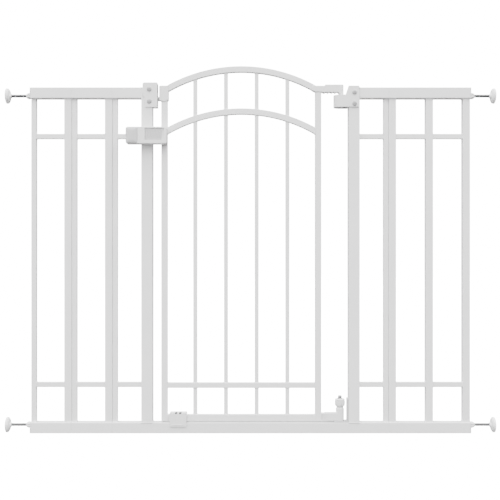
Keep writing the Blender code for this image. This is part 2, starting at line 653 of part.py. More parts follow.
def top_catch():
    face = POST_FRONT - GAP
    front = face - PLATE_THICK
    step_x = CATCH_LEFT + CATCH_STEP
    middle_z = (CATCH_SCREW_Z[0] + CATCH_SCREW_Z[1]) / 2
    outline = [(step_x, CATCH_LOW), (CATCH_RIGHT, CATCH_LOW), (CATCH_RIGHT, CATCH_HIGH),
               (CATCH_LEFT + CATCH_EAR, CATCH_HIGH), (CATCH_LEFT, CATCH_HIGH - CATCH_EAR),
               (CATCH_LEFT, middle_z), (step_x, middle_z - CATCH_STEP)]
    jaw = box((-POST_INNER + GAP, front, CATCH_LOW), (CATCH_RIGHT, CATCH_BACK, CATCH_HIGH))
    half_height, half_depth = BOLT_HEIGHT / 2 + BOLT_ROOM, BOLT_DEPTH / 2 + BOLT_ROOM
    notch = box((BOLT_LEFT - BOLT_ROOM, front - PAST, BOLT_Z - half_height),
                (CATCH_RIGHT + PAST, half_depth, BOLT_Z + half_height))
    holes = [screw_hole(CATCH_SCREW_X, z) for z in CATCH_SCREW_Z]
    part("latch_catch", slab(outline, front, face), WHITE_PLASTIC, joins=[jaw],
         cuts=[notch, *holes])
    for level, z in zip(("upper", "lower"), CATCH_SCREW_Z):
        screw(f"catch_screw_{level}", CATCH_SCREW_X, z)

    half = CORNER_DEPTH / 2
    width = CORNER_RIGHT - CORNER_LEFT
    shares = [i / CORNER_STEPS for i in range(CORNER_STEPS + 1)]
    bottom = [(CORNER_LEFT + width * u, CORNER_LOW + CORNER_SAG * (2 * u - 1) ** 2) for u in shares]
    shell = slab(bottom + [(CORNER_RIGHT, CORNER_HIGH), (CORNER_LEFT, CORNER_HIGH)], -half, half)
    reach = STILE_SIZE / 2 + GAP
    stile = box((DOOR_LEFT - GAP, -reach, CORNER_LOW - PAST),
                (DOOR_LEFT + STILE_SIZE + GAP, reach, stile_top() + GAP))
    part("door_corner_sleeve", shell, WHITE_PLASTIC,
         cuts=[stile, arch_clearance(ARCH_SIZE + 2 * GAP), bolt_passage()])
    part("top_bolt",
         box((BOLT_LEFT, -BOLT_DEPTH / 2, BOLT_Z - BOLT_HEIGHT / 2),
             (BOLT_LEFT + BOLT_LENGTH, BOLT_DEPTH / 2, BOLT_Z + BOLT_HEIGHT / 2)),
         GREY_PLASTIC, bevel=RUN)


def handle():
    back = POST_FRONT - HANDLE_CLEAR
    front = back - HANDLE_DEPTH
    shares = [i / GRIP_STEPS for i in range(GRIP_STEPS + 1)]
    bulge = [(HANDLE_LEFT + GRIP_WIDTH * u, front - GRIP_BULGE * (1 - (2 * u - 1) ** 2)) for u in shares]
    outline = [(HANDLE_LEFT, back), *bulge, (HANDLE_RIGHT, front), (HANDLE_RIGHT, back)]
    shell = plate(outline, HANDLE_LOW, HANDLE_HIGH)
    mount = box((DOOR_LEFT, back - HANDLE_WALL, HANDLE_LOW),
                (HANDLE_RIGHT, -max(STILE_SIZE, ARCH_SIZE) / 2 - GAP, HANDLE_HIGH))
    inside = back - HANDLE_WALL
    cavity = box((HANDLE_LEFT + HANDLE_WALL, front + HANDLE_WALL, HANDLE_LOW + HANDLE_WALL),
                 (HANDLE_RIGHT - HANDLE_WALL, inside, HANDLE_HIGH - HANDLE_WALL))
    back_opening = box((HANDLE_LEFT + HANDLE_WALL, inside - ROOT, HANDLE_LOW + HANDLE_WALL),
                       (DOOR_LEFT - ROOT, back + PAST, HANDLE_HIGH - HANDLE_WALL))
    slide_back = front + HANDLE_WALL + RUN
    window = box((WINDOW_LEFT, front - PAST, WINDOW_LOW), (WINDOW_RIGHT, slide_back, WINDOW_HIGH))
    part("handle_housing", shell, WHITE_PLASTIC, joins=[mount],
         cuts=[cavity, back_opening, window])

    flange_back = slide_back + SLIDE_FLANGE
    pad = box((WINDOW_LEFT + RUN, front + SLIDE_SUNK, WINDOW_LOW + RUN),
              (WINDOW_RIGHT - SLIDE_TRAVEL - RUN, slide_back + ROOT, WINDOW_HIGH - RUN))
    low_room = WINDOW_LOW - HANDLE_LOW - HANDLE_WALL
    high_room = HANDLE_HIGH - HANDLE_WALL - WINDOW_HIGH
    flange = box((WINDOW_LEFT - SLIDE_LIP, slide_back, WINDOW_LOW - low_room / 2),
                 (HANDLE_RIGHT - HANDLE_WALL - SLIDE_TRAVEL - GAP, flange_back,
                  WINDOW_HIGH + high_room / 2))
    part("thumb_slide", pad, GREY_PLASTIC, joins=[flange])

    claw_right = -POST_OUTER - HOOK_CLEAR
    claw_left = claw_right - HOOK_THICK
    link_front = flange_back + HOOK_SPACE
    claw = box((claw_left, link_front, HOOK_LOW), (claw_right, HOOK_BACK, HOOK_HIGH))
    link = box((claw_left, link_front, HOOK_LOW),
               (DOOR_LEFT - 2 * SLIDE_TRAVEL, link_front + HOOK_LINK, HOOK_HIGH))
    part("latch_hook", claw, GREY_PLASTIC, joins=[link])


def direction_stop():
    top = DOOR_LOW + BOTTOM_RAIL_HEIGHT
    reach = STILE_SIZE / 2 + GAP
    low = BEAM_HEIGHT + STOP_CLEAR
    body = box((STOP_LEFT, STOP_FRONT, low), (STOP_RIGHT, STOP_BACK, STOP_HIGH))
    channel = box((STOP_LEFT - PAST, -reach, low - PAST), (STOP_RIGHT + PAST, reach, top + GAP))
    width = STOP_RIGHT - STOP_LEFT
    slots = []
    for share in STOP_SLOTS:
        start = STOP_LEFT + width * share
        slots.append(box((start, -STOP_SLOT_DEEP / 2, top + STOP_SKIN),
                         (start + STOP_SLOT_WIDE, STOP_SLOT_DEEP / 2, STOP_HIGH + PAST)))
    part("stop_clip", body, WHITE_PLASTIC, cuts=[channel, *slots])
    tab_back = STOP_FRONT - GAP
    part("stop_tab", box((STOP_LEFT + TAB_INSET, tab_back - TAB_THICK, TAB_LOW),
                         (STOP_RIGHT - TAB_INSET, tab_back, TAB_HIGH)), WHITE_PLASTIC, bevel=TAB_INSET)


# Wall fittings

def wall_fitting(side, sign, level, beam_z, towards_middle):
    """End cap, hand nut, rod with its pad, and wall cup at one end of one beam."""
    name = f"{side}_{level}"
    end = HALF_FRAME + (2 * EXT_NARROW if sign < 0 else EXT_WIDE)
    z = beam_z + towards_middle * ROD_OFFSET
    turn = sign * math.pi / 2

    def at(distance):
        return sign * (end + distance)

    def x_box(near, far, half_y, low_z, high_z):
        first, last = sorted((at(near), at(far)))
        return box((first, -half_y, low_z), (last, half_y, high_z))

    inner_y = BEAM_DEPTH / 2 - TUBE_WALL - GAP
    inner_z = BEAM_HEIGHT / 2 - TUBE_WALL - GAP
    flange = x_box(GAP, GAP + CAP_FLANGE, BEAM_DEPTH / 2, beam_z - BEAM_HEIGHT / 2,
                   beam_z + BEAM_HEIGHT / 2)
    plug = x_box(-CAP_PLUG, GAP + ROOT, inner_y, beam_z - inner_z, beam_z + inner_z)
    bore = cylinder((at(-ROD_INSIDE), 0, z), (at(PAST), 0, z), ROD_DIA / 2 + RUN)
    part(f"end_cap_{name}", flange, WHITE_PLASTIC, joins=[plug], cuts=[bore])

    nut_near = GAP + CAP_FLANGE + GAP
    nut = slab(lobed((0, 0), NUT_DIA / 2, NUT_LOBE_DEEP, NUT_LOBES), nut_near, nut_near + NUT_LENGTH)
    nut.transform(Matrix.Rotation(-turn, 4, "Z"))
    nut.transform(Matrix.Translation((sign * end, 0, z)))
    part(f"hand_nut_{name}", nut, GREY_PLASTIC,
         cuts=[cylinder((at(0), 0, z), (at(nut_near + NUT_LENGTH + PAST), 0, z), ROD_DIA / 2 + GAP)],
         origin=(sign * end, 0, z))

    rod, pad = ROD_DIA / 2, PAD_DIA / 2
    pad_end = PAD_START + PAD_THICK
    turned(f"wall_rod_{name}",
           [(0, pad_end), (pad, pad_end), (pad, PAD_START + PAD_THICK * 0.5),
            (pad * 0.5, PAD_START), (rod, PAD_START), (rod, -ROD_INSIDE + ROD_CHAMFER),
            (rod - ROD_CHAMFER, -ROD_INSIDE), (0, -ROD_INSIDE)],
           ZINC, (sign * end, 0, z), turn_y=turn)
    cup = CUP_DIA / 2
    floor = pad_end + GAP
    rim = floor - CUP_RECESS
    turned(f"wall_cup_{name}",
           [(0, rim + CUP_THICK), (cup, rim + CUP_THICK), (cup, rim + CUP_THICK - CUP_EDGE),
            (cup - CUP_TAPER, rim), (pad + GAP, rim), (pad + GAP, floor), (0, floor)],
           WHITE_PLASTIC, (sign * end, 0, z), turn_y=turn)


def wall_fittings():
    for side, sign in (("left", -1), ("right", 1)):
        wall_fitting(side, sign, "top", BEAM_TOP_Z, -1)
        wall_fitting(side, sign, "bottom", BEAM_LOW_Z, 1)


main_frame()
extensions()
door()
top_hinge()
lower_hinge()
top_catch()
handle()
direction_stop()
wall_fittings()
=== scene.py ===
import math

import bmesh
import bpy
from mathutils import Matrix, Vector


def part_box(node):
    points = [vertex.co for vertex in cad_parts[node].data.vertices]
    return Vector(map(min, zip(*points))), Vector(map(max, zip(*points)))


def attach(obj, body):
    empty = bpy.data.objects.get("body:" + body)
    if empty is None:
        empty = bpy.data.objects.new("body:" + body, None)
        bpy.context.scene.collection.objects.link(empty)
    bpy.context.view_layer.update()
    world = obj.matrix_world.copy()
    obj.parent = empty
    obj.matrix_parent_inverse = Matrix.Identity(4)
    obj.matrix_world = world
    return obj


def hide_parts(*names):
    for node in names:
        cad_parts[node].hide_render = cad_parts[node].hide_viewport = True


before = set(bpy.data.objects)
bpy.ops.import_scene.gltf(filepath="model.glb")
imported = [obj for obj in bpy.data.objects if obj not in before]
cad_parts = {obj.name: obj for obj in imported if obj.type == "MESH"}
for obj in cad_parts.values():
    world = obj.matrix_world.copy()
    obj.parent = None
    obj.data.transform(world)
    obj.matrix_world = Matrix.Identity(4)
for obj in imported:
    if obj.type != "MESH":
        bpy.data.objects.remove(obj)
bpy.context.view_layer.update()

# Tubes, in metres
GAP = 0.0003  # between pieces that touch
TUBE_WALL = 0.0012
TUBE_LIP = 0.0003  # how far a tube's cut end is eased
BEAM_CORNER = 0.0011
POST_CORNER = 0.0013
POST_DOME = 0.0016  # how high the post's cap is crowned
POST_CAP = 0.0040  # from the crown down to the cap's inside
DOOR_CORNER = 0.0010
BAR_CORNER = 0.0008
UPRIGHT_CORNER = BAR_CORNER + 0.0004
SPIGOT_LENGTH = 0.0250
SPIGOT_OVERLAP = 0.0100  # how far a spigot runs back into its own beam
SPIGOT_WALL = 0.0020
SNUG = 0.0015  # from a beam's outside to a spigot's
DOOR_RAIL_HIGH = 0.0148
DOOR_RAIL_STEP = 0.0003  # from the stile's face back to the rail's
PLUG_HIGH = 0.0080  # the plug in each stile's foot
RAIL_SIZE = 0.0125  # the side panels' cross rails
RAIL_LOW_Z = 0.1202
RAIL_HIGH_Z = 0.7411
UPRIGHT_THIN = 0.0127
UPRIGHT_WIDE = 0.0183
SHARP_ANGLE = math.radians(34)

# Weld beads
BEAD = 0.0011
BEAD_STEP = 0.0009
BEAD_DRIFT = 0.0005

# Arches
ARCH_RADIUS = 0.3750
ARCH_STEPS = 96
ARCH_SINK = 0.0030  # how far a spindle's top end runs into the arch
ARCH_SPARE = math.radians(1.0)  # swept past each end, then cut off

# Fasteners, hinge and latch
SCREW_THICK = 0.0024
SCREW_LONG = 0.0090
SOCKET_ROOM = 0.0002  # between a stile and the moulding over it
PAST = 0.0100  # how far a cutting shape runs past what it cuts
BOLT_ROOM = 0.0012
STOP_SLOTS = (0.32, 0.56)  # where the stop's slots start, as shares of its width
STOP_SLOT_WIDE = 0.0056

# Wall fittings
ROD_CREST = 0.0040
ROD_ROOT = 0.0036
ROD_PITCH = 0.00125
PAD_LONG = 0.0092
CUP_FLOOR = 0.0023
LOBES = 6
LOBE_DEEP = 0.0020
ROUND = 48  # steps round a turned piece

# Light, floor and camera
SKY = 3.3  # how bright the soft light round the gate is
LEVEL = 0.15  # its share at the level of the eye
OVERHEAD = 2.25  # how much more there is straight above
SKY_LEAN = (-0.10, -0.20, 1.0)  # the way that most of the light comes from
BACKDROP = 17.0  # how bright the plain backdrop behind it is
FLOOR_REACH = 12.0
FLOOR_LOW = -0.0005
FLOOR_SEEN = 0.85  # the floor's own share of the backdrop's brightness
FLOOR_BOUNCE = 0.090  # how much light the floor throws back
EYE = (-0.00125, -2.075, 0.457)
LENS = 59.6


# Node trees

def added(tree, kind, wired, **settings):
    """A new node of one kind. Each input named in wired is set to a value, or linked to a socket."""
    made = tree.nodes.new(kind)
    for name, value in settings.items():
        setattr(made, name, value)
    for name, value in wired.items():
        if isinstance(value, bpy.types.NodeSocket):
            tree.links.new(value, made.inputs[name])
        else:
            made.inputs[name].default_value = value
    return made


# Finishes

def shader_of(name, colour, roughness, metallic=0.0):
    """A new finish, and what its pattern is wired to."""
    made = bpy.data.materials.new(name)
    made.use_nodes = True
    tree = made.node_tree
    shader = tree.nodes["Principled BSDF"]
    shader.inputs["Base Color"].default_value = (*colour, 1.0)
    shader.inputs["Roughness"].default_value = roughness
    shader.inputs["Metallic"].default_value = metallic
    place = tree.nodes.new("ShaderNodeTexCoord").outputs["Object"]
    return made, tree, shader, place


def noise_at(tree, place, scale, detail=2.0, stretch=None):
    if stretch:
        place = added(tree, "ShaderNodeMapping", {"Scale": stretch, "Vector": place}).outputs["Vector"]
    wired = {"Scale": scale, "Detail": detail, "Vector": place}
    return added(tree, "ShaderNodeTexNoise", wired).outputs["Fac"]


def spread(tree, value, low, high):
    """A pattern's middle values, stretched between two numbers."""
    wired = {"From Min": 0.3, "From Max": 0.7, "To Min": low, "To Max": high, "Value": value}
    return added(tree, "ShaderNodeMapRange", wired).outputs["Result"]


def tint(tree, value, dark, light):
    made = tree.nodes.new("ShaderNodeMix")
    made.data_type = "RGBA"
    colours = [item for item in made.inputs if item.type == "RGBA"]
    colours[0].default_value = (*dark, 1.0)
    colours[1].default_value = (*light, 1.0)
    tree.links.new(value, made.inputs[0])
    return next(item for item in made.outputs if item.type == "RGBA")


def relief(tree, shader, layers):
    """Bumps on top of each other: (pattern, strength, height in metres)."""
    below = None
    for value, strength, height in layers:
        wired = {"Strength": strength, "Distance": height, "Height": value}
        if below:
            wired["Normal"] = below
        below = added(tree, "ShaderNodeBump", wired).outputs["Normal"]
    tree.links.new(below, shader.inputs["Normal"])


def powder_coat():
    """Baked white powder: a fine orange peel, slightly uneven in gloss and whiteness."""
    made, tree, shader, place = shader_of("white_powder_coat", (0.80, 0.80, 0.80), 0.40)
    shader.inputs["Coat Weight"].default_value = 0.12
    shader.inputs["Coat Roughness"].default_value = 0.22
    cloud = noise_at(tree, place, 14.0, 3.0)
    peel = noise_at(tree, place, 620.0, 2.0)
    grain = noise_at(tree, place, 2600.0, 1.0)
    whites = tint(tree, spread(tree, cloud, 0.0, 1.0), (0.775, 0.775, 0.777), (0.812, 0.812, 0.810))
    tree.links.new(whites, shader.inputs["Base Color"])
    tree.links.new(spread(tree, peel, 0.36, 0.46), shader.inputs["Roughness"])
    relief(tree, shader, [(peel, 0.35, 0.00004), (grain, 0.15, 0.00001)])
    return made


def moulded_plastic(name, dark, light, roughness):
    """Injection-moulded plastic with a fine spark-eroded texture."""
    made, tree, shader, place = shader_of(name, light, roughness)
    cloud = noise_at(tree, place, 30.0, 3.0)
    texture = noise_at(tree, place, 3200.0, 3.0)
    tree.links.new(tint(tree, spread(tree, cloud, 0.0, 1.0), dark, light), shader.inputs["Base Color"])
    tree.links.new(spread(tree, texture, roughness - 0.05, roughness + 0.07), shader.inputs["Roughness"])
    relief(tree, shader, [(texture, 0.30, 0.00002)])
    return made


def zinc_plate(name, dark, light, roughness, stretch):
    """Zinc on steel, with faint draw lines along one way and cloudy patches."""
    made, tree, shader, place = shader_of(name, light, roughness, 1.0)
    cloud = noise_at(tree, place, 90.0, 4.0)
    lines = noise_at(tree, place, 900.0, 2.0, stretch)
    tree.links.new(tint(tree, spread(tree, cloud, 0.0, 1.0), dark, light), shader.inputs["Base Color"])
    tree.links.new(spread(tree, lines, roughness - 0.06, roughness + 0.12), shader.inputs["Roughness"])
    relief(tree, shader, [(lines, 0.25, 0.00001)])
    return made


PAINT = powder_coat()
PLASTIC = moulded_plastic("white_plastic", (0.745, 0.745, 0.745), (0.775, 0.775, 0.773), 0.38)
# A brighter copy of the white plastic for the wall pads and cups: painted light, so they look more lit than
# the other white mouldings.
LIT_CUP_WHITE = moulded_plastic("lit_cup_plastic", (0.90, 0.90, 0.90), (0.93, 0.93, 0.93), 0.34)
RUBBER = moulded_plastic("black_rubber", (0.030, 0.030, 0.031), (0.045, 0.045, 0.046), 0.60)
GREY = moulded_plastic("grey_plastic", (0.49, 0.49, 0.495), (0.53, 0.53, 0.535), 0.44)
ZINC = zinc_plate("zinc_steel", (0.12, 0.12, 0.122), (0.16, 0.16, 0.163), 0.58, (0.05, 1.0, 1.0))
SCREW_ZINC = zinc_plate("screw_zinc", (0.30, 0.30, 0.305), (0.38, 0.38, 0.385), 0.32, (1.0, 1.0, 1.0))


# Outlines and solids

def rounded(outline, steps=5):
    """An outline's points (u, v, radius), with each corner made an arc of its own radius."""
    points = []
    count = len(outline)
    for index, (u, v, radius) in enumerate(outline):
        corner = Vector((u, v))
        before = Vector(outline[index - 1][:2]) - corner
        after = Vector(outline[(index + 1) % count][:2]) - corner
        if radius <= 0 or before.length < 1e-9 or after.length < 1e-9:
            points.append(corner)
            continue
        before.normalize()
        after.normalize()
        half = math.acos(max(-1.0, min(1.0, before.dot(after)))) / 2
        middle = before + after
        if math.cos(half) < 1e-4 or middle.length < 1e-9:
            points.append(corner)
            continue
        centre = corner + middle.normalized() * radius / math.sin(half)
        first = corner + before * radius / math.tan(half) - centre
        last = corner + after * radius / math.tan(half) - centre
        sweep = first.angle_signed(last)
        for step in range(steps + 1):
            points.append(centre + Matrix.Rotation(-sweep * step / steps, 2) @ first)
    return points


def rectangle(low_u, high_u, low_v, high_v, radius):
    corners = ((low_u, low_v), (high_u, low_v), (high_u, high_v), (low_u, high_v))
    return [(u, v, radius) for u, v in corners]


def section_x(low, high, radius, inset=0.0):
    """The outline of a box across X."""
    return rectangle(low.y + inset, high.y - inset, low.z + inset, high.z - inset, radius)


def section_z(low, high, radius):
    """The outline of a box across Z."""
    return rectangle(low.x, high.x, low.y, high.y, radius)


def drawn_in(outline, amount):
    """The outline's corners moved in by an amount: outer rounds tighten, inner ones open."""
    area = sum(a[0] * b[1] - b[0] * a[1] for a, b in zip(outline, outline[1:] + outline[:1]))
    turn = 1 if area > 0 else -1
    moved = []
    for index, (u, v, radius) in enumerate(outline):
        corner = Vector((u, v))
        before = (corner - Vector(outline[index - 1][:2])).normalized()
        after = (Vector(outline[(index + 1) % len(outline)][:2]) - corner).normalized()
        in_before = Vector((-before.y, before.x)) * turn
        in_after = Vector((-after.y, after.x)) * turn
        shift = corner + (in_before + in_after) * amount / max(0.2, 1 + in_before.dot(in_after))
        if radius > 0:
            outer = (before.x * after.y - before.y * after.x) * turn > 0
            radius = max(0.0001, radius - amount) if outer else radius + amount
        moved.append((shift.x, shift.y, radius))
    return moved


def along_x(u, v, level):
    return Vector((level, u, v))


def along_y(u, v, level):
    return Vector((u, level, v))


def along_z(u, v, level):
    return Vector((u, v, level))


def ring_of(place, outline, level):
    """A loop of points: an outline with its corners rounded, at one level."""
    return [place(p.x, p.y, level) for p in rounded(outline)]


def loft(bm, rings, closed=False):
    """Joins rings of points, with a flat face over each end, or back to the first ring."""
    made = [[bm.verts.new(point) for point in ring] for ring in rings]
    pairs = list(zip(made, made[1:])) + ([(made[-1], made[0])] if closed else [])
    for first, second in pairs:
        count = len(first)
        for i in range(count):
            j = (i + 1) % count
            bm.faces.new((first[i], first[j], second[j], second[i]))
    if not closed:
        bm.faces.new(made[0][::-1])
        bm.faces.new(made[-1])


def pillow(bm, outline, place, low, high, ease, steps=4):
    """A solid of one outline between two levels, its edges rounded over."""
    rings = []
    for level, sign in ((low, 1), (high, -1)):
        turns = [step / steps for step in range(steps + 1)]
        for share in turns if sign > 0 else turns[::-1]:
            angle = share * math.pi / 2
            inner = drawn_in(outline, ease * (1 - math.sin(angle)))
            rings.append(ring_of(place, inner, level + sign * ease * (1 - math.cos(angle))))
    loft(bm, rings)


def tube(bm, place, start, end, outline, wall=TUBE_WALL, lip=TUBE_LIP):
    """An open-ended tube of one outline, its cut ends faintly eased."""
    def ring(amount, level):
        return ring_of(place, drawn_in(outline, amount), level)

    loft(bm, [ring(lip, start), ring(0, start + lip), ring(0, end - lip), ring(lip, end),
              ring(wall - lip / 2, end), ring(wall, end - lip), ring(wall, start + lip),
              ring(wall - lip / 2, start)], closed=True)


def turned(bm, profile, matrix, steps=ROUND, lobes=0):
    """A shape turned about its own Z from (radius, height, lobe depth) points, bottom to top outside."""
    rings = []
    for radius, height, depth in profile:
        ring = []
        for step in range(steps if radius > 0 else 1):
            angle = 2 * math.pi * step / steps
            reach = radius - depth / 2 + depth / 2 * math.cos(lobes * angle)
            point = Vector((reach * math.cos(angle), reach * math.sin(angle), height))
            ring.append(bm.verts.new(matrix @ point))
        rings.append(ring)
    if profile[0][0] > 0 and profile[-1][0] > 0:
        rings.append(rings[0])
    for first, second in zip(rings, rings[1:]):
        for i in range(steps):
            j = (i + 1) % steps
            around = ((first, i), (first, j), (second, j), (second, i))
            corners = [ring[step % len(ring)] for ring, step in around]
            bm.faces.new(list(dict.fromkeys(corners)))


def profile(points, steps=4):
    """(radius, height, ease) corners eased into arcs. A fourth number is how deep the lobes are there."""
    result = []
    for index, (radius, height, ease, *lobe) in enumerate(points):
        depth = lobe[0] if lobe else 0
        if ease > 0 and 0 < index < len(points) - 1:
            arc = rounded([corner[:3] for corner in points[index - 1:index + 2]], steps)
            start = 1 if points[index - 1][2] <= 0 else steps + 1
            result += [(p.x, p.y, depth) for p in arc[start:start + steps + 1]]
        else:
            result.append((radius, height, depth))
    return result


def mesh_of(bm, name):
    bmesh.ops.remove_doubles(bm, verts=bm.verts, dist=1e-7)
    bmesh.ops.recalc_face_normals(bm, faces=bm.faces)
    made = bpy.data.meshes.new(name)
    bm.to_mesh(made)
    bm.free()
    return made


def shape(build, *args, **named):
    """The mesh that one of the functions above makes by itself."""
    bm = bmesh.new()
    build(bm, *args, **named)
    return mesh_of(bm, "shape")


def slab(*args):
    """A pillow's own mesh."""
    return shape(pillow, *args)


def spun(points, place, steps=ROUND, lobes=0):
    """The mesh of a shape turned from its corners."""
    return shape(turned, profile(points), place, steps, lobes)


def bore(radius, place, low=-1.0, high=1.0):
    """A plain round cutting bar."""
    return shape(turned, [(0, low, 0), (radius, low, 0), (radius, high, 0), (0, high, 0)], place, 32)


def placed(name, data):
    """A new object in the scene."""
    made = bpy.data.objects.new(name, data)
    bpy.context.scene.collection.objects.link(made)
    return made


def plain_mesh(holder, *helpers):
    """What an object's modifiers make of its mesh. The object and its helpers are then removed."""
    graph = bpy.context.evaluated_depsgraph_get()
    result = bpy.data.meshes.new_from_object(holder.evaluated_get(graph))
    for item in (holder, *helpers):
        bpy.data.objects.remove(item, do_unlink=True)
    return result


def worked(mesh, steps):
    """A mesh with modifiers run on it. Each step is (kind, settings)."""
    holder = placed("holder", mesh)
    helpers = []
    for kind, settings in steps:
        step = holder.modifiers.new(kind.lower(), kind)
        for key, value in settings.items():
            if isinstance(value, bpy.types.Mesh):
                value = placed("helper", value)
                helpers.append(value)
            setattr(step, key, value)
    return plain_mesh(holder, *helpers)


def joined(first, *others):
    return worked(first, [("BOOLEAN", {"operation": "UNION", "object": other}) for other in others])


def cut(first, *others):
    return worked(first, [("BOOLEAN", {"operation": "DIFFERENCE", "object": other}) for other in others])


def piece(name, mesh, finish, body, *nodes):
    """One finished piece: smooth over its curves, flat on its flats, riding on its body."""
    mesh.shade_smooth()
    mesh.set_sharp_from_angle(angle=SHARP_ANGLE)
    mesh = worked(mesh, [("WEIGHTED_NORMAL", {"keep_sharp": True, "weight": 100})])
    mesh.materials.clear()
    mesh.materials.append(finish)
    for face in mesh.polygons:
        face.material_index = 0
    made = placed(name, mesh)
    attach(made, body)
    if nodes:
        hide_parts(*nodes)
    return made


def box_of(node):
    low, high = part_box(node)
    return Vector(low), Vector(high)


def middle_of(node):
    low, high = box_of(node)
    return (low + high) / 2


# Geometry Nodes: arches and weld beads

def tree_with(name, inputs):
    tree = bpy.data.node_groups.new(name, "GeometryNodeTree")
    tree.interface.new_socket("Geometry", in_out="INPUT", socket_type="NodeSocketGeometry")
    for label, kind in inputs:
        tree.interface.new_socket(label, in_out="INPUT", socket_type=kind)
    tree.interface.new_socket("Geometry", in_out="OUTPUT", socket_type="NodeSocketGeometry")
    return tree, tree.nodes.new("NodeGroupInput"), tree.nodes.new("NodeGroupOutput")


def ending(tree, geometry, start, end):
    """The last nodes of a tree: real geometry, in its finish."""
    real = added(tree, "GeometryNodeRealizeInstances", {"Geometry": geometry})
    painted = added(tree, "GeometryNodeSetMaterial", {
        "Geometry": real.outputs["Geometry"], "Material": start.outputs["Finish"]})
    tree.links.new(painted.outputs["Geometry"], end.inputs["Geometry"])


def grown(mesh, tree, values):
    """The plain mesh that a tree makes from a mesh."""
    holder = placed("holder", mesh)
    step = holder.modifiers.new("grown", "NODES")
    step.node_group = tree
    for item in tree.interface.items_tree:
        if item.in_out == "INPUT" and item.name in values:
            step[item.identifier] = values[item.name]
    return plain_mesh(holder)


def arch_tree():
    """A square bar with rounded edges, swept along an upright arc."""
    inputs = [("Radius", "NodeSocketFloat"), ("Half Angle", "NodeSocketFloat"), ("Size", "NodeSocketFloat"),
              ("Corner", "NodeSocketFloat"), ("Centre", "NodeSocketVector"), ("Steps", "NodeSocketInt"),
              ("Finish", "NodeSocketMaterial")]
    tree, start, end = tree_with("arch", inputs)
    given = start.outputs
    first = added(tree, "ShaderNodeMath", {0: math.pi / 2, 1: given["Half Angle"]}, operation="SUBTRACT")
    sweep = added(tree, "ShaderNodeMath", {0: given["Half Angle"], 1: 2.0}, operation="MULTIPLY")
    arc = added(tree, "GeometryNodeCurveArc", {
        "Resolution": given["Steps"], "Radius": given["Radius"],
        "Start Angle": first.outputs[0], "Sweep Angle": sweep.outputs[0]})
    upright = added(tree, "GeometryNodeTransform", {
        "Geometry": arc.outputs["Curve"], "Rotation": (math.pi / 2, 0, 0), "Translation": given["Centre"]})
    square = added(tree, "GeometryNodeCurvePrimitiveQuadrilateral", {
        "Width": given["Size"], "Height": given["Size"]})
    eased = added(tree, "GeometryNodeFilletCurve", {
        "Count": 4, "Curve": square.outputs["Curve"], "Radius": given["Corner"]}, mode="POLY")
    swept = added(tree, "GeometryNodeCurveToMesh", {
        "Fill Caps": True, "Curve": upright.outputs["Geometry"], "Profile Curve": eased.outputs["Curve"]})
    ending(tree, swept.outputs["Mesh"], start, end)
    return tree


def bead_tree():
    """A weld bead along every loop of edges, a little uneven in width and line."""
    inputs = [("Bead", "NodeSocketFloat"), ("Step", "NodeSocketFloat"), ("Unevenness", "NodeSocketFloat"),
              ("Finish", "NodeSocketMaterial")]
    tree, start, end = tree_with("weld_beads", inputs)
    given = start.outputs
    curve = added(tree, "GeometryNodeMeshToCurve", {"Mesh": given["Geometry"]})
    even = added(tree, "GeometryNodeResampleCurve", {
        "Curve": curve.outputs["Curve"], "Length": given["Step"]}, mode="LENGTH")
    ripple = added(tree, "ShaderNodeTexNoise", {"Scale": 420.0, "Detail": 1.0})
    wide = added(tree, "GeometryNodeSetCurveRadius", {
        "Curve": even.outputs["Curve"], "Radius": spread(tree, ripple.outputs["Fac"], 0.75, 1.2)})
    centred = added(tree, "ShaderNodeVectorMath", {
        0: ripple.outputs["Color"], 1: (0.5, 0.5, 0.5)}, operation="SUBTRACT")
    drift = added(tree, "ShaderNodeVectorMath", {
        0: centred.outputs["Vector"], "Scale": given["Unevenness"]}, operation="SCALE")
    moved = added(tree, "GeometryNodeSetPosition", {
        "Geometry": wide.outputs["Curve"], "Offset": drift.outputs["Vector"]})
    ring = added(tree, "GeometryNodeCurvePrimitiveCircle", {"Resolution": 8, "Radius": given["Bead"]})
    swept = added(tree, "GeometryNodeCurveToMesh", {
        "Curve": moved.outputs["Geometry"], "Profile Curve": ring.outputs["Curve"]})
    ending(tree, swept.outputs["Mesh"], start, end)
    return tree


ARCH = arch_tree()
BEADS = bead_tree()


def loops_mesh(loops):
    bm = bmesh.new()
    for loop in loops:
        points = [bm.verts.new(point) for point in loop]
        for first, second in zip(points, points[1:] + points[:1]):
            bm.edges.new((first, second))
    made = bpy.data.meshes.new("loops")
    bm.to_mesh(made)
    bm.free()
    return made


def weld(name, body, loops):
    values = {"Bead": BEAD, "Step": BEAD_STEP, "Unevenness": BEAD_DRIFT, "Finish": PAINT}
    piece(name, grown(loops_mesh(loops), BEADS, values), PAINT, body)


# Frame and extensions

FRAME_WELDS = []
DOOR_WELDS = []


def beam(node, spigot_side=0):
    """A horizontal tube. An extension's beam holds a moulded spigot that fills the next beam's end."""
    low, high = box_of(node)
    start = low.x + (SPIGOT_LENGTH if spigot_side < 0 else 0)
    end = high.x - (SPIGOT_LENGTH if spigot_side > 0 else 0)
    bm = bmesh.new()
    tube(bm, along_x, start, end, section_x(low, high, BEAM_CORNER))
    if spigot_side:
        near = end - SPIGOT_OVERLAP if spigot_side > 0 else low.x
        far = high.x if spigot_side > 0 else start + SPIGOT_OVERLAP
        tube(bm, along_x, near, far, section_x(low, high, 0.0012, SNUG), wall=SPIGOT_WALL)
    piece(f"{node}_tube", mesh_of(bm, node), PAINT, "frame", node)


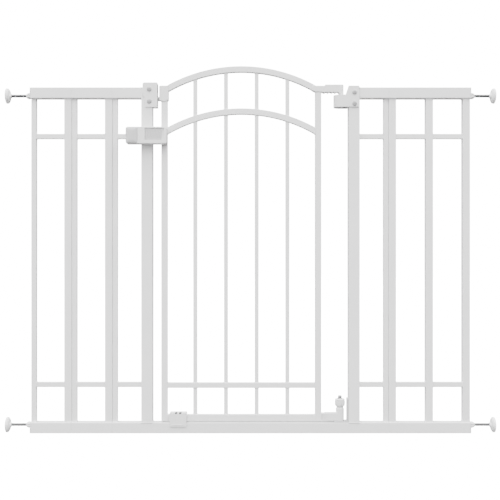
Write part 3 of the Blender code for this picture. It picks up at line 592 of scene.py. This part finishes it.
def post(side):
    """An upright tube with its rounded top closed by a pressed cap."""
    node = f"{side}_post"
    low, high = box_of(node)
    outline = section_z(low, high, POST_CORNER)

    def ring(amount, level):
        return ring_of(along_z, drawn_in(outline, amount), level)

    rings = [ring(TUBE_WALL, high.z - POST_CAP), ring(TUBE_WALL, low.z), ring(0, low.z)]
    for step in range(5):
        angle = step / 4 * math.pi / 2
        rise = POST_DOME * math.sin(angle)
        rings.append(ring(POST_DOME * (1 - math.cos(angle)), high.z - POST_DOME + rise))
    bm = bmesh.new()
    loft(bm, rings)
    piece(f"{node}_tube", mesh_of(bm, node), PAINT, "frame", node)
    FRAME_WELDS.append(ring_of(along_z, outline, low.z))
    beam_low, beam_high = box_of(f"{side}_top_beam")
    level = beam_high.x if side == "left" else beam_low.x
    FRAME_WELDS.append(ring_of(along_x, section_x(beam_low, beam_high, BEAM_CORNER), level))


def ladder(node, uprights, ends):
    """Uprights and two cross rails. uprights are (left, right); ends say where each rail starts and stops."""
    low, high = box_of(node)
    bm = bmesh.new()
    for left, right in uprights:
        half = (right - left) / 2
        tube(bm, along_z, low.z, high.z, rectangle(left, right, -half, half, UPRIGHT_CORNER))
        for level in (low.z, high.z):
            FRAME_WELDS.append(ring_of(along_z, rectangle(left, right, -half, half, BAR_CORNER), level))
    for centre in (RAIL_LOW_Z, RAIL_HIGH_Z):
        half = RAIL_SIZE / 2
        outline = rectangle(-half, half, centre - half, centre + half, BAR_CORNER)
        for start, end in ends:
            tube(bm, along_x, start, end, outline)
            for level in (start, end):
                FRAME_WELDS.append(ring_of(along_x, outline, level))
    piece(f"{node}_bars", mesh_of(bm, node), PAINT, "frame", node)


def frame_tubes():
    beam("bottom_beam")
    for side in ("left", "right"):
        beam(f"{side}_top_beam")
        post(side)
    for name in ("inner_left_extension", "outer_left_extension"):
        for level in ("top", "bottom"):
            beam(f"{name}_{level}_beam", 1)
        low, high = box_of(f"{name}_ladder")
        ladder(f"{name}_ladder",
               [(low.x, low.x + UPRIGHT_THIN), (high.x - UPRIGHT_WIDE, high.x)],
               [(low.x + UPRIGHT_THIN, high.x - UPRIGHT_WIDE)])
    for level in ("top", "bottom"):
        beam(f"right_extension_{level}_beam", -1)
    low, high = box_of("right_extension_ladder")
    middle = (low.x + high.x) / 2
    half = UPRIGHT_WIDE / 2
    ladder("right_extension_ladder",
           [(low.x, low.x + UPRIGHT_WIDE), (middle - half, middle + half), (high.x - UPRIGHT_WIDE, high.x)],
           [(low.x + UPRIGHT_WIDE, middle - half), (middle + half, high.x - UPRIGHT_WIDE)])
    low, high = box_of("left_side_ladder")
    ladder("left_side_ladder", [(low.x, low.x + UPRIGHT_THIN)], [(low.x + UPRIGHT_THIN, high.x)])
    low, high = box_of("right_side_ladder")
    ladder("right_side_ladder", [(high.x - UPRIGHT_THIN, high.x)], [(low.x, high.x - UPRIGHT_THIN)])


# Door

def arch(node, corner):
    low, high = box_of(node)
    size = high.y - low.y
    half_span = (high.x - low.x) / 2
    centre = Vector(((low.x + high.x) / 2, 0, high.z - size / 2 - ARCH_RADIUS))
    reach = math.asin(half_span / (ARCH_RADIUS - size / 2)) + ARCH_SPARE
    values = {"Radius": ARCH_RADIUS, "Half Angle": reach, "Size": size, "Corner": corner,
              "Centre": centre, "Steps": ARCH_STEPS, "Finish": PAINT}
    mesh = grown(bpy.data.meshes.new("start"), ARCH, values)
    bm = bmesh.new()
    bm.from_mesh(mesh)
    for x, sign in ((low.x, -1), (high.x, 1)):
        geometry = bm.verts[:] + bm.edges[:] + bm.faces[:]
        bmesh.ops.bisect_plane(bm, geom=geometry, plane_co=(x, 0, 0), plane_no=(sign, 0, 0), clear_outer=True)
        bmesh.ops.holes_fill(bm, edges=[edge for edge in bm.edges if edge.is_boundary])
    piece(f"{node}_bar", mesh_of(bm, node), PAINT, "door", node)
    return centre, size


def underside_at(x, centre, size, of_top=False):
    """The height of an arch's underside, or of its top, above x."""
    radius = ARCH_RADIUS + (size / 2 if of_top else -size / 2)
    return centre.z + math.sqrt(radius ** 2 - (x - centre.x) ** 2)


def door_tubes():
    low, high = box_of("door_frame")
    size = high.y - low.y
    rail_high = low.z + DOOR_RAIL_HIGH
    bm = bmesh.new()
    for left, right in ((low.x, low.x + size), (high.x - size, high.x)):
        tube(bm, along_z, low.z, high.z, rectangle(left, right, low.y, high.y, DOOR_CORNER))
        plug = rectangle(left + TUBE_WALL, right - TUBE_WALL, low.y + TUBE_WALL, high.y - TUBE_WALL, 0.001)
        pillow(bm, plug, along_z, low.z + 0.0002, low.z + PLUG_HIGH, 0.0004)
    tube(bm, along_x, low.x + size - 0.001, high.x - size + 0.001,
         rectangle(low.y + DOOR_RAIL_STEP, high.y - DOOR_RAIL_STEP, low.z, rail_high, BAR_CORNER))
    piece("door_frame_tubes", mesh_of(bm, "door_frame"), PAINT, "door", "door_frame")
    for level in (low.x + size, high.x - size):
        DOOR_WELDS.append(ring_of(along_x, rectangle(low.y, high.y, low.z, rail_high, BAR_CORNER), level))

    top_centre, top_size = arch("upper_arch", DOOR_CORNER)
    low_centre, low_size = arch("lower_arch", DOOR_CORNER)

    rail_low, rail_top = box_of("door_cross_rail")
    outline = section_x(rail_low, rail_top, BAR_CORNER)
    rail = shape(tube, along_x, rail_low.x, rail_top.x, outline)
    piece("door_cross_rail_tube", rail, PAINT, "door", "door_cross_rail")
    for level in (rail_low.x, rail_top.x):
        DOOR_WELDS.append(ring_of(along_x, outline, level))

    for number in range(1, 5):
        node = f"spindle_{number}"
        low, high = box_of(node)
        outline = section_z(low, high, BAR_CORNER)
        outer = max(abs(low.x - top_centre.x), abs(high.x - top_centre.x)) + top_centre.x
        top = underside_at(outer, top_centre, top_size) + ARCH_SINK
        piece(f"{node}_tube", shape(tube, along_z, low.z, top, outline), PAINT, "door", node)
        for level in (low.z, rail_low.z, rail_top.z):
            DOOR_WELDS.append(ring_of(along_z, outline, level))
        for centre, size, of_top in ((top_centre, top_size, False), (low_centre, low_size, False),
                                     (low_centre, low_size, True)):
            DOOR_WELDS.append([Vector((p.x, p.y, underside_at(p.x, centre, size, of_top)))
                               for p in rounded(outline)])
    low, high = box_of("lower_arch")
    for x in (low.x, high.x):
        top = underside_at(x, low_centre, low_size, of_top=True)
        bottom = underside_at(x, low_centre, low_size)
        DOOR_WELDS.append(ring_of(along_x, rectangle(low.y, high.y, bottom, top, DOOR_CORNER), x))


frame_tubes()
door_tubes()
weld("frame_welds", "frame", FRAME_WELDS)
weld("door_welds", "door", DOOR_WELDS)


# Screws and pins

def towards(direction):
    return Vector((0, 0, 1)).rotation_difference(Vector(direction)).to_matrix().to_4x4()


def pan_head(node, turn):
    """A pan-head screw in the front of a post, its cross recess turned as it was tightened."""
    low, high = box_of(node)
    centre = (low + high) / 2
    radius = (high.x - low.x) / 2
    head = [(0, 0, 0), (radius * 0.96, 0, 0.0002), (radius, SCREW_THICK * 0.35, 0.0004),
            (radius * 0.86, SCREW_THICK * 0.86, 0.0012), (0, SCREW_THICK, 0)]
    solid = spun(head, Matrix.Identity(4))
    reach, arm = radius * 0.58, radius * 0.12
    for half_u, half_v in ((reach, arm), (arm, reach)):
        flat = [(-half_u, -half_v), (half_u, -half_v), (half_u, half_v), (-half_u, half_v)]
        rings = [[Vector((u * 0.6, v * 0.8, SCREW_THICK * 0.25)) for u, v in flat],
                 [Vector((u, v, SCREW_THICK * 1.1)) for u, v in flat]]
        solid = cut(solid, shape(loft, rings))
    place = Matrix.Translation((centre.x, low.y + SCREW_THICK, centre.z)) @ towards((0, -1, 0))
    solid.transform(place @ Matrix.Rotation(turn, 4, "Z"))
    shank = [(0, -SCREW_LONG, 0), (0.0025, 0.0012 - SCREW_LONG, 0.0003), (0.0025, 0.0002, 0), (0, 0.0002, 0)]
    bm = bmesh.new()
    bm.from_mesh(solid)
    turned(bm, profile(shank), place, 20)
    piece(f"{node}_steel", mesh_of(bm, node), SCREW_ZINC, "frame", node)


def screw_boss(bm, node, level):
    """A shallow raised ring of plastic round a screw's seat."""
    low, high = box_of(node)
    centre = (low + high) / 2
    radius = (high.x - low.x) / 2
    place = Matrix.Translation((centre.x, level, centre.z)) @ towards((0, -1, 0))
    corners = [(radius + 0.0002, -0.0008, 0), (radius + 0.0018, -0.0008, 0),
               (radius + 0.0016, 0.0006, 0.0004), (radius + 0.0004, 0.0006, 0.0003)]
    turned(bm, profile(corners), place)


def hinge_pins():
    """The top pin under its flat head, and the bottom pin with its rounded top."""
    for node in ("top_hinge_pin", "lower_hinge_pin"):
        low, high = box_of(node)
        radius = (high.x - low.x) / 2
        if node == "top_hinge_pin":
            shank, head = 0.0040, high.z - 0.0025
            points = [(0, low.z, 0), (shank, low.z, 0.0003), (shank, head, 0), (radius, head, 0.0003),
                      (radius, high.z, 0.0008), (0, high.z, 0)]
        else:
            points = [(0, low.z, 0), (radius, low.z, 0.0003), (radius, high.z, 0.0024), (0, high.z, 0)]
        place = Matrix.Translation(middle_of(node) * Vector((1, 1, 0)))
        piece(f"{node}_steel", spun(points, place), SCREW_ZINC, "frame", node)


# Hinge side

def hinge_bracket():
    """The post plate with its slanted shoulder and the hollow round knuckle that carries the top pin."""
    low, high = box_of("hinge_bracket")
    pin = middle_of("top_hinge_pin")
    wall = box_of("right_post")[0].x - GAP
    slant = 0.0072
    reach, top = wall - slant, high.z - 0.0220
    front, face, back = low.y, low.y + 0.0030, high.y
    shell = 0.0025
    socket_top = low.z + 0.0122
    arc = [(pin.x + back * math.cos(a), back * math.sin(a), 0)
           for a in (math.radians(90 + 165 * step / 22) for step in range(23))]
    plan = [(wall, back, 0.0004)] + arc + [(pin.x + back * 0.1, front, 0.003), (wall, front, 0)]
    block = slab(plan, along_z, low.z, top, 0.0010)
    hollow = [(wall - shell, back - shell, 0)]
    hollow += [(pin.x + (u - pin.x) * 0.85, v * 0.85, 0) for u, v, _ in arc]
    hollow += [(pin.x, front + shell, 0), (wall - shell, front + shell, 0)]
    cavity = slab(hollow, along_z, low.z - 0.004, socket_top - 0.0002, 0.0003)
    outline = [(reach, low.z, 0.0010), (high.x, low.z, 0.0022), (high.x, high.z, 0.0024),
               (reach + slant, high.z, 0.0024), (reach, top, 0.0004)]
    plate = slab(outline, along_y, front - 0.0001, face, 0.0008)
    axis = Matrix.Translation((pin.x, 0, 0))
    bm = bmesh.new()
    bm.from_mesh(cut(joined(block, plate), cavity, bore(0.0043, axis)))
    turned(bm, profile([(0.0044, low.z, 0.0002), (0.0072, low.z, 0.0003), (0.0072, socket_top, 0),
                        (0.0044, socket_top, 0)]), axis, 32)
    for level in ("upper", "lower"):
        screw_boss(bm, f"hinge_screw_{level}", front)
    piece("hinge_bracket_moulding", mesh_of(bm, "bracket"), PLASTIC, "frame", "hinge_bracket")


def hinge_arm():
    """The door's arm over the knuckle, scalloped underneath, and the saddle that caps the door's corner."""
    low, high = box_of("hinge_arm")
    pin = middle_of("top_hinge_pin")
    stile = box_of("door_frame")[1]
    half = high.y
    shoulder = stile.x + 0.0100
    step = 0.0030
    floor = high.z - 0.0245
    scallops, steps, scallop_deep = 4, 6, 0.0024
    start, end = pin.x - 0.0030, shoulder - 0.0020
    under = []
    for index in range(scallops * steps + 1):
        share = index / (scallops * steps)
        wave = scallop_deep * abs(math.sin(math.pi * scallops * share))
        under.append((start + (end - start) * share, floor + 0.0030 + wave, 0))
    outline = [(low.x, high.z - step, 0.0012), (low.x, floor + 0.0098, 0.0006),
               (low.x + 0.0080, floor + 0.0058, 0.0020), (stile.x + 0.003, floor + 0.0052, 0.0010)]
    outline += under[::-1]
    outline += [(pin.x + 0.0005, floor, 0.0010), (high.x, floor, 0.0020), (high.x, high.z, 0.0026),
                (shoulder, high.z, 0.0014), (shoulder - 0.0026, high.z - step, 0.0010)]
    body = slab(outline, along_y, low.y, high.y, 0.0016)
    tip = [(low.x - PAST, -half, 0), (pin.x, -half, 0)]
    tip += [(pin.x + half * math.sin(a), -half * math.cos(a), 0)
            for a in (math.pi * turn / 24 for turn in range(1, 24))]
    tip += [(pin.x, half, 0), (low.x - PAST, half, 0)]
    round_tip = slab(tip, along_z, floor - PAST, high.z + PAST, 0.0002)
    body = worked(body, [("BOOLEAN", {"operation": "INTERSECT", "object": round_tip})])
    axis = Matrix.Translation((pin.x, 0, 0))
    wide = stile.y + SOCKET_ROOM
    socket = slab(rectangle(stile.x - 2 * wide, stile.x + SOCKET_ROOM, -wide, wide, DOOR_CORNER), along_z,
                  low.z - 0.02, stile.z - 0.004, 0.0002)
    seat = bore(0.0070, axis, high.z - 0.0028, high.z + PAST)
    piece("hinge_arm_moulding", cut(body, socket, seat, bore(0.0045, axis)), PLASTIC, "door", "hinge_arm")


def lower_bracket():
    """An angle bent from plate: a foot on the bottom beam and a cheek against the post."""
    low, high = box_of("lower_hinge_bracket")
    pin = middle_of("lower_hinge_pin")
    thick, bend, edge = 0.0030, 0.0036, 0.0005
    outline = [(low.x, low.z, edge), (high.x, low.z, bend), (high.x, high.z, edge),
               (high.x - thick, high.z, edge), (high.x - thick, low.z + thick, bend - thick),
               (low.x, low.z + thick, edge)]
    angle = slab(outline, along_y, low.y, high.y, 0.0004)
    hole = bore(0.0053, Matrix.Translation((pin.x, pin.y, 0)))
    # The angle takes the grey finish rather than the frame's white paint: painted shade, darkening its cheek
    # against the post.
    piece("lower_hinge_angle", cut(angle, hole), GREY, "frame", "lower_hinge_bracket")


def lower_sleeve():
    """The barrel round the bottom pin with its neck, and the collared arm that plugs onto the door's foot."""
    low, high = box_of("lower_hinge_sleeve")
    pin = middle_of("lower_hinge_pin")
    radius = high.x - pin.x
    waist = radius - 0.0014
    throat, seat = 0.0056, 0.0082
    barrel = [(throat, low.z, 0.0002), (radius - 0.0003, low.z, 0.0006), (radius, low.z + 0.0040, 0.0010),
              (radius, high.z - 0.0060, 0.0008), (waist, high.z - 0.0040, 0.0006), (waist, high.z, 0.0003),
              (seat, high.z, 0.0002), (seat, high.z - 0.0020, 0), (throat, high.z - 0.0020, 0)]
    arm_top = low.z + 0.0195
    collar = low.x + 0.0085
    depth = 0.0085
    outline = [(low.x, low.z, 0.0006), (pin.x, low.z, 0), (pin.x, arm_top, 0), (collar, arm_top, 0.0008),
               (collar, arm_top - 0.0012, 0.0004), (low.x, arm_top - 0.0012, 0.0010)]
    arm = slab(outline, along_y, -depth, depth, 0.0012)
    axis = Matrix.Translation((pin.x, 0, 0))
    groove = slab(rectangle(collar - 0.0009, collar + 0.0004, low.z - PAST, high.z, 0.0002), along_y,
                  -depth - PAST, -depth + 0.0016, 0.0001)
    flute = slab(rectangle(low.x + 0.001, low.x + 0.0030, low.z + 0.002, arm_top - 0.003, 0.0006), along_y,
                 -depth - PAST, -depth + 0.0012, 0.0001)
    solid = joined(spun(barrel, axis), cut(arm, bore(seat, axis)))
    piece("lower_hinge_sleeve_moulding", cut(solid, groove, flute), PLASTIC, "door", "lower_hinge_sleeve")


def tension_knob():
    """A ribbed knob with a plain collar below, a domed top edge and a bore for the pin's nub."""
    low, high = box_of("tension_knob")
    pin = middle_of("lower_hinge_pin")
    radius = (high.x - low.x) / 2
    ribs, deep, throat = 18, 0.0012, 0.0056
    points = [(throat, low.z, 0.0002), (radius - 0.0022, low.z, 0.0006),
              (radius - 0.0006, low.z + 0.0018, 0.0006, deep), (radius, low.z + 0.0050, 0.0010, deep),
              (radius, high.z - 0.0058, 0.0008, deep), (radius - 0.0007, high.z - 0.0040, 0.0004),
              (radius - 0.0004, high.z - 0.0014, 0.0012), (radius - 0.0030, high.z, 0.0012),
              (throat, high.z, 0.0003)]
    knob = spun(points, Matrix.Translation((pin.x, pin.y, 0)), ribs * 8, ribs)
    piece("tension_knob_moulding", knob, PLASTIC, "tension_knob", "tension_knob")


# Latch side

def latch_catch():
    """The catch on the latch post: an eared plate, two screw seats and the jaw that the bolt enters."""
    low, high = box_of("latch_catch")
    post_edge = box_of("left_post")[1].x
    screws = [middle_of(f"catch_screw_{level}") for level in ("upper", "lower")]
    bolt = box_of("top_bolt")
    step = 0.0055
    waist = (screws[0].z + screws[1].z) / 2
    thick, wall = 0.0032, 0.0020
    outline = [(low.x + step, low.z, 0.0020), (high.x, low.z, 0.0012), (high.x, high.z, 0.0024),
               (low.x, high.z, 0.0050), (low.x, waist, 0.0030), (low.x + step, waist - step, 0.0030)]
    plate = slab(outline, along_y, low.y, low.y + thick, 0.0009)
    jaw = slab(rectangle(post_edge + GAP, high.x, low.z, high.z, 0.0012), along_y,
               low.y + 0.0012, high.y, 0.0008)
    room = rectangle(low.y + 0.0060, bolt[1].y + BOLT_ROOM,
                     bolt[0].z - BOLT_ROOM, bolt[1].z + BOLT_ROOM, 0.0006)
    way = slab(room, along_x, bolt[0].x - BOLT_ROOM, high.x + PAST, 0.0002)
    slot = rectangle(low.y + 2 * wall, high.y - 0.0022, bolt[1].z + 0.0090, high.z - 0.0044, 0.0008)
    window = slab(slot, along_x, post_edge + wall, high.x + PAST, 0.0002)
    # A black rubber block fills the window almost to the catch's side: painted shade, standing for the dark
    # hollow there.
    shade_block = slab(drawn_in(slot, 0.0001), along_x, post_edge + 0.0019, high.x - 0.0006, 0.0004)
    piece("latch_catch_shade_block", shade_block, RUBBER, "frame", "latch_catch")
    bm = bmesh.new()
    bm.from_mesh(cut(joined(plate, jaw), way, window))
    for level in ("upper", "lower"):
        screw_boss(bm, f"catch_screw_{level}", low.y)
    piece("latch_catch_moulding", mesh_of(bm, "catch"), PLASTIC, "frame", "latch_catch")


def corner_sleeve():
    """The moulded sleeve over the door's latch corner, its lower edge curved, and the bolt that leaves it."""
    low, high = box_of("door_corner_sleeve")
    width = high.x - low.x
    sag = 0.0036
    base = low.z + 0.0016
    bottom = [(low.x + width * i / 16, base + sag * (2 * i / 16 - 1) ** 2, 0) for i in range(17)]
    bottom[0] = (low.x, base + sag, 0.0006)
    bottom[-1] = (high.x, base + sag, 0.0006)
    outline = bottom + [(high.x, high.z, 0.0012), (low.x, high.z, 0.0030)]
    body = slab(outline, along_y, low.y, high.y, 0.0016)
    stile_low, stile_high = box_of("door_frame")
    half = stile_high.y + SOCKET_ROOM
    hollow = slab(rectangle(stile_low.x - SOCKET_ROOM, stile_low.x + 2 * half, -half, half, DOOR_CORNER),
                  along_z, low.z - PAST, low.z + 0.018, 0.0002)
    piece("corner_sleeve_moulding", cut(body, hollow), PLASTIC, "door", "door_corner_sleeve")
    low, high = box_of("top_bolt")
    nose, heel = 0.0012, 0.0004
    outline = [(low.x, low.z, nose), (high.x, low.z, heel), (high.x, high.z, heel), (low.x, high.z, nose)]
    bolt = slab(outline, along_y, low.y, high.y, 0.0008)
    piece("top_bolt_moulding", bolt, GREY, "top_bolt", "top_bolt")


def handle():
    """The handle: a soft grip that swells forwards, a plain rib, and a recess for the thumb slide."""
    low, high = box_of("handle_housing")
    slide_low, slide_high = box_of("thumb_slide")
    back = box_of("left_post")[0].y - 0.0008
    front = low.y + 0.0040
    door_left = box_of("door_frame")[0].x
    stile_face = -box_of("door_frame")[1].y - GAP
    wall = 0.0025
    round_off = 0.0050
    outline = rectangle(low.x, high.x, low.z, high.z, round_off)
    shell = slab(outline, along_y, front, back, 0.0018, 5)
    mount = slab(rectangle(door_left, high.x, low.z, high.z, round_off), along_y, back - 0.004, stile_face,
                 0.0006)
    window = (slide_low.x + 0.0045, high.x - 0.0068, low.z + 0.0092, high.z - 0.0030)
    recess = slab(rectangle(*window, 0.0014), along_y, front - PAST, slide_low.y + 0.0034, 0.0002)
    cavity = slab(rectangle(low.x + wall, door_left - 0.001, low.z + wall, high.z - wall, 0.003), along_y,
                  back - 0.0120, back + PAST, 0.0002)
    body = cut(joined(shell, mount), recess, cavity)
    piece("handle_moulding", body, PLASTIC, "door", "handle_housing")

    grip = low.x + 0.0300
    edge = 0.0004
    rings = []
    pad = rectangle(low.x + edge, grip, low.z + edge, high.z - edge, round_off)
    swell = ((edge, 0.0010), (edge, -0.0004), (0.0008, -0.0012), (0.0020, -0.0020), (0.0040, -0.0028),
             (0.0070, -0.0035), (0.0105, -0.0038))
    for amount, level in swell:
        rings.append(ring_of(along_y, drawn_in(pad, amount), front + level))
    piece("handle_grip_pad", shape(loft, rings), GREY, "door", "handle_housing")

    left, right, bottom, top = window
    stop = right - 0.0066
    face = slide_low.y + 0.0006
    bm = bmesh.new()
    pillow(bm, rectangle(left + 0.0006, stop, bottom + 0.0004, top - 0.0014, 0.0010), along_y,
           face + 0.0006, slide_high.y, 0.0005)
    ribs = 7
    for index in range(ribs):
        x = left + 0.0070 + index * (stop - left - 0.0130) / (ribs - 1)
        pillow(bm, rectangle(x - 0.0007, x + 0.0007, bottom + 0.0045, top - 0.0045, 0.0006), along_y,
               face, face + 0.0016, 0.0004)
    piece("thumb_slide_moulding", mesh_of(bm, "slide"), GREY, "thumb_slide", "thumb_slide")


def hook():
    low, high = box_of("latch_hook")
    claw, thick = 0.0065, 0.0030
    outline = [(low.x, low.y, 0.0010), (high.x, low.y, 0.0008), (high.x, low.y + thick, 0.0008),
               (low.x + claw, low.y + thick, 0.0012), (low.x + claw, high.y, 0.0012), (low.x, high.y, 0.0020)]
    claws = slab(outline, along_z, low.z, high.z, 0.0006)
    piece("latch_hook_moulding", claws, GREY, "latch_hook", "latch_hook")


def direction_stop():
    """The clip on the door's bottom rail, with two guide slots, and its lift tab with a finger ledge."""
    low, high = box_of("stop_clip")
    rail_low, rail_high = box_of("door_frame")
    half = rail_high.y + GAP
    rail_top = rail_low.z + DOOR_RAIL_HIGH + GAP
    body = slab(rectangle(low.x, high.x, low.z, high.z, 0.0022), along_y, low.y, high.y, 0.0012)
    cutters = [slab(rectangle(-half, half, low.z - PAST, rail_top, 0.0004), along_x,
                    low.x - PAST, high.x + PAST, 0.0001)]
    slots = [(start, start + STOP_SLOT_WIDE)
             for start in (low.x + (high.x - low.x) * share for share in STOP_SLOTS)]
    springs = bmesh.new()
    for start, end in slots:
        cutters.append(slab(rectangle(start, end, low.y - PAST, 0.0075, 0.0012), along_z,
                            rail_top + 0.0014, high.z + PAST, 0.0001))
        pillow(springs, rectangle(start + GAP, end - GAP, low.y + 0.0004, 0.0070, 0.0008), along_z,
               rail_top + 0.0010, high.z - 0.0008, 0.0003)
    piece("direction_stop_clip", cut(body, *cutters), PLASTIC, "door", "stop_clip")
    piece("direction_stop_springs", mesh_of(springs, "springs"), RUBBER, "door", "stop_clip")

    low, high = box_of("stop_tab")
    notch = high.z - 0.0034
    tops = []
    for start, end in slots:
        tops += [(start, high.z, 0.0008), (start, notch, 0.0006), (end, notch, 0.0006), (end, high.z, 0.0008)]
    corners = ((high.x, high.z), (high.x, low.z), (low.x, low.z), (low.x, high.z))
    outline = [(x, z, 0.0030) for x, z in corners]
    bm = bmesh.new()
    pillow(bm, outline + tops, along_y, low.y + 0.0006, high.y, 0.0006)
    pillow(bm, rectangle(low.x + 0.005, high.x - 0.005, low.z + 0.0035, low.z + 0.0065, 0.0012), along_y,
           low.y, low.y + 0.002, 0.0006)
    piece("direction_stop_tab", mesh_of(bm, "tab"), PLASTIC, "stop_tab", "stop_tab")


# Wall fittings

def threaded_rod(bm, start, end, matrix):
    """A rod's thread as one surface: the crest winds round once for each pitch."""
    steps, rows_a_pitch = 20, 4
    rows = round((end - start) / ROD_PITCH * rows_a_pitch)
    rings = []
    for row in range(rows + 1):
        height = start + (end - start) * row / rows
        fade = max(0.0, min(1.0, (height - start) / 0.002, (end - height) / 0.002 + 0.2))
        ring = []
        for step in range(steps):
            turn = step / steps
            phase = (height / ROD_PITCH - turn) % 1.0
            radius = ROD_ROOT + (ROD_CREST - ROD_ROOT) * (1 - abs(2 * phase - 1)) * fade
            angle = 2 * math.pi * turn
            ring.append(matrix @ Vector((radius * math.cos(angle), radius * math.sin(angle), height)))
        rings.append(ring)
    loft(bm, rings)


def wall_fitting(side, sign, level):
    name = f"{side}_{level}"
    rod_low, rod_high = box_of(f"wall_rod_{name}")
    axis = (rod_low + rod_high) / 2
    place = Matrix.Translation((0, axis.y, axis.z)) @ towards((sign, 0, 0))
    rod_start, rod_end = sorted((sign * rod_low.x, sign * rod_high.x))
    pad = (rod_high.z - rod_low.z) / 2
    pad_start = rod_end - PAD_LONG
    rod = shape(threaded_rod, rod_start, pad_start + 0.002, place)
    piece(f"wall_rod_{name}_steel", rod, ZINC, f"wall_rod_{name}", f"wall_rod_{name}")
    points = [(0, pad_start, 0), (0.0052, pad_start, 0.0008), (0.0060, rod_end - 0.0056, 0.0014),
              (pad * 0.92, rod_end - 0.0038, 0.0010), (pad, rod_end - 0.0026, 0.0006), (pad, rod_end, 0.0006),
              (0, rod_end, 0)]
    piece(f"wall_pad_{name}_moulding", spun(points, place), LIT_CUP_WHITE, f"wall_rod_{name}", f"wall_rod_{name}")

    cup_low, cup_high = box_of(f"wall_cup_{name}")
    cup_start, cup_end = sorted((sign * cup_low.x, sign * cup_high.x))
    radius = (cup_high.z - cup_low.z) / 2
    floor = cup_start + CUP_FLOOR
    points = [(0, floor, 0), (pad + GAP, floor, 0.0002), (pad + GAP, cup_start, 0.0003),
              (radius - 0.0010, cup_start, 0.0006), (radius, cup_end - 0.0022, 0.0006),
              (radius, cup_end, 0.0008), (0, cup_end, 0)]
    cup = spun(points, place, 72)
    piece(f"wall_cup_{name}_moulding", cup, LIT_CUP_WHITE, f"wall_rod_{name}", f"wall_cup_{name}")

    nut_low, nut_high = box_of(f"hand_nut_{name}")
    start, end = sorted((sign * nut_low.x, sign * nut_high.x))
    radius = (nut_high.y - nut_low.y) / 2
    throat = 0.0042
    points = [(throat, start, 0.0002), (radius - 0.0006, start, 0.0006, LOBE_DEEP),
              (radius, start + 0.0022, 0.0010, LOBE_DEEP),
              (radius - 0.0006, start + 0.0058, 0.0010, LOBE_DEEP),
              (radius - 0.0018, end - 0.0016, 0.0008), (radius - 0.0030, end, 0.0010), (throat, end, 0.0003)]
    nut = spun(points, place, LOBES * 12, LOBES)
    piece(f"hand_nut_{name}_moulding", nut, PLASTIC, f"hand_nut_{name}", f"hand_nut_{name}")

    cap_low, cap_high = box_of(f"end_cap_{name}")
    beam_end = cap_low.x if sign < 0 else cap_high.x
    near, far = sorted((beam_end, beam_end - sign * 0.0018))
    cap = slab(section_x(cap_low, cap_high, BEAM_CORNER + 0.0006), along_x, near, far, 0.0006)
    near, far = sorted((beam_end - sign * 0.0015, beam_end - sign * 0.0170))
    plug = slab(section_x(cap_low, cap_high, 0.0012, 0.0016), along_x, near, far, 0.0004)
    solid = cut(joined(cap, plug), bore(0.0045, place))
    piece(f"end_cap_{name}_moulding", solid, PLASTIC, "frame", f"end_cap_{name}")


for node, turn in (("hinge_screw_upper", 0.35), ("hinge_screw_lower", 1.1),
                   ("catch_screw_upper", 0.8), ("catch_screw_lower", 0.15)):
    pan_head(node, turn)
hinge_pins()
hinge_bracket()
hinge_arm()
lower_bracket()
lower_sleeve()
tension_knob()
latch_catch()
corner_sleeve()
handle()
hook()
direction_stop()
for side, sign in (("left", -1), ("right", 1)):
    for level in ("top", "bottom"):
        wall_fitting(side, sign, level)
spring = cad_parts["closing_spring"]
spring.data.materials.clear()
spring.data.materials.append(ZINC)


# The stage

def seen_or_lit(tree):
    """1 where a ray comes straight from the eye, 0 where it only carries light."""
    return tree.nodes.new("ShaderNodeLightPath").outputs["Is Camera Ray"]


def soft_box():
    """White all round, weak at the level of the eye and strong from above."""
    world = bpy.data.worlds.new("soft_box")
    bpy.context.scene.world = world
    world.use_nodes = True
    tree = world.node_tree
    way = tree.nodes.new("ShaderNodeTexCoord").outputs["Generated"]
    lean = added(tree, "ShaderNodeVectorMath", {0: way, 1: SKY_LEAN}, operation="DOT_PRODUCT")
    sky = added(tree, "ShaderNodeMath", {
        0: lean.outputs["Value"], 1: SKY * OVERHEAD, 2: SKY * LEVEL}, operation="MULTIPLY_ADD")
    strength = added(tree, "ShaderNodeMix", {"Factor": seen_or_lit(tree), "A": sky.outputs[0], "B": BACKDROP})
    light = tree.nodes["Background"].inputs
    light["Color"].default_value = (1, 1, 1, 1)
    tree.links.new(strength.outputs["Result"], light["Strength"])


def pale_floor():
    """A plain pale floor that runs into the backdrop and throws little light back up."""
    mesh = bpy.data.meshes.new("floor")
    corners = [(u * FLOOR_REACH, v * FLOOR_REACH, FLOOR_LOW) for u, v in ((-1, -1), (1, -1), (1, 1), (-1, 1))]
    mesh.from_pydata(corners, [], [(0, 1, 2, 3)])
    pale = bpy.data.materials.new("pale_floor")
    pale.use_nodes = True
    tree = pale.node_tree
    tree.nodes.clear()
    lit = added(tree, "ShaderNodeBsdfDiffuse", {"Color": (FLOOR_BOUNCE, FLOOR_BOUNCE, FLOOR_BOUNCE, 1)})
    seen = added(tree, "ShaderNodeEmission", {"Strength": BACKDROP * FLOOR_SEEN})
    shadowed = added(tree, "ShaderNodeBsdfDiffuse", {"Color": (0.95, 0.95, 0.95, 1)})
    both = added(tree, "ShaderNodeAddShader", {0: seen.outputs[0], 1: shadowed.outputs[0]})
    mixed = added(tree, "ShaderNodeMixShader", {0: seen_or_lit(tree), 1: lit.outputs[0], 2: both.outputs[0]})
    added(tree, "ShaderNodeOutputMaterial", {"Surface": mixed.outputs[0]})
    mesh.materials.append(pale)
    floor = placed("floor", mesh)


def eye():
    """The camera: level, square on, at half the gate's height."""
    lens = bpy.data.cameras.new("camera")
    lens.sensor_width = 36
    lens.lens = LENS
    camera = placed("camera", lens)
    camera.location = EYE
    camera.rotation_euler = (math.pi / 2, 0, 0)
    bpy.context.scene.camera = camera


soft_box()
pale_floor()
eye()
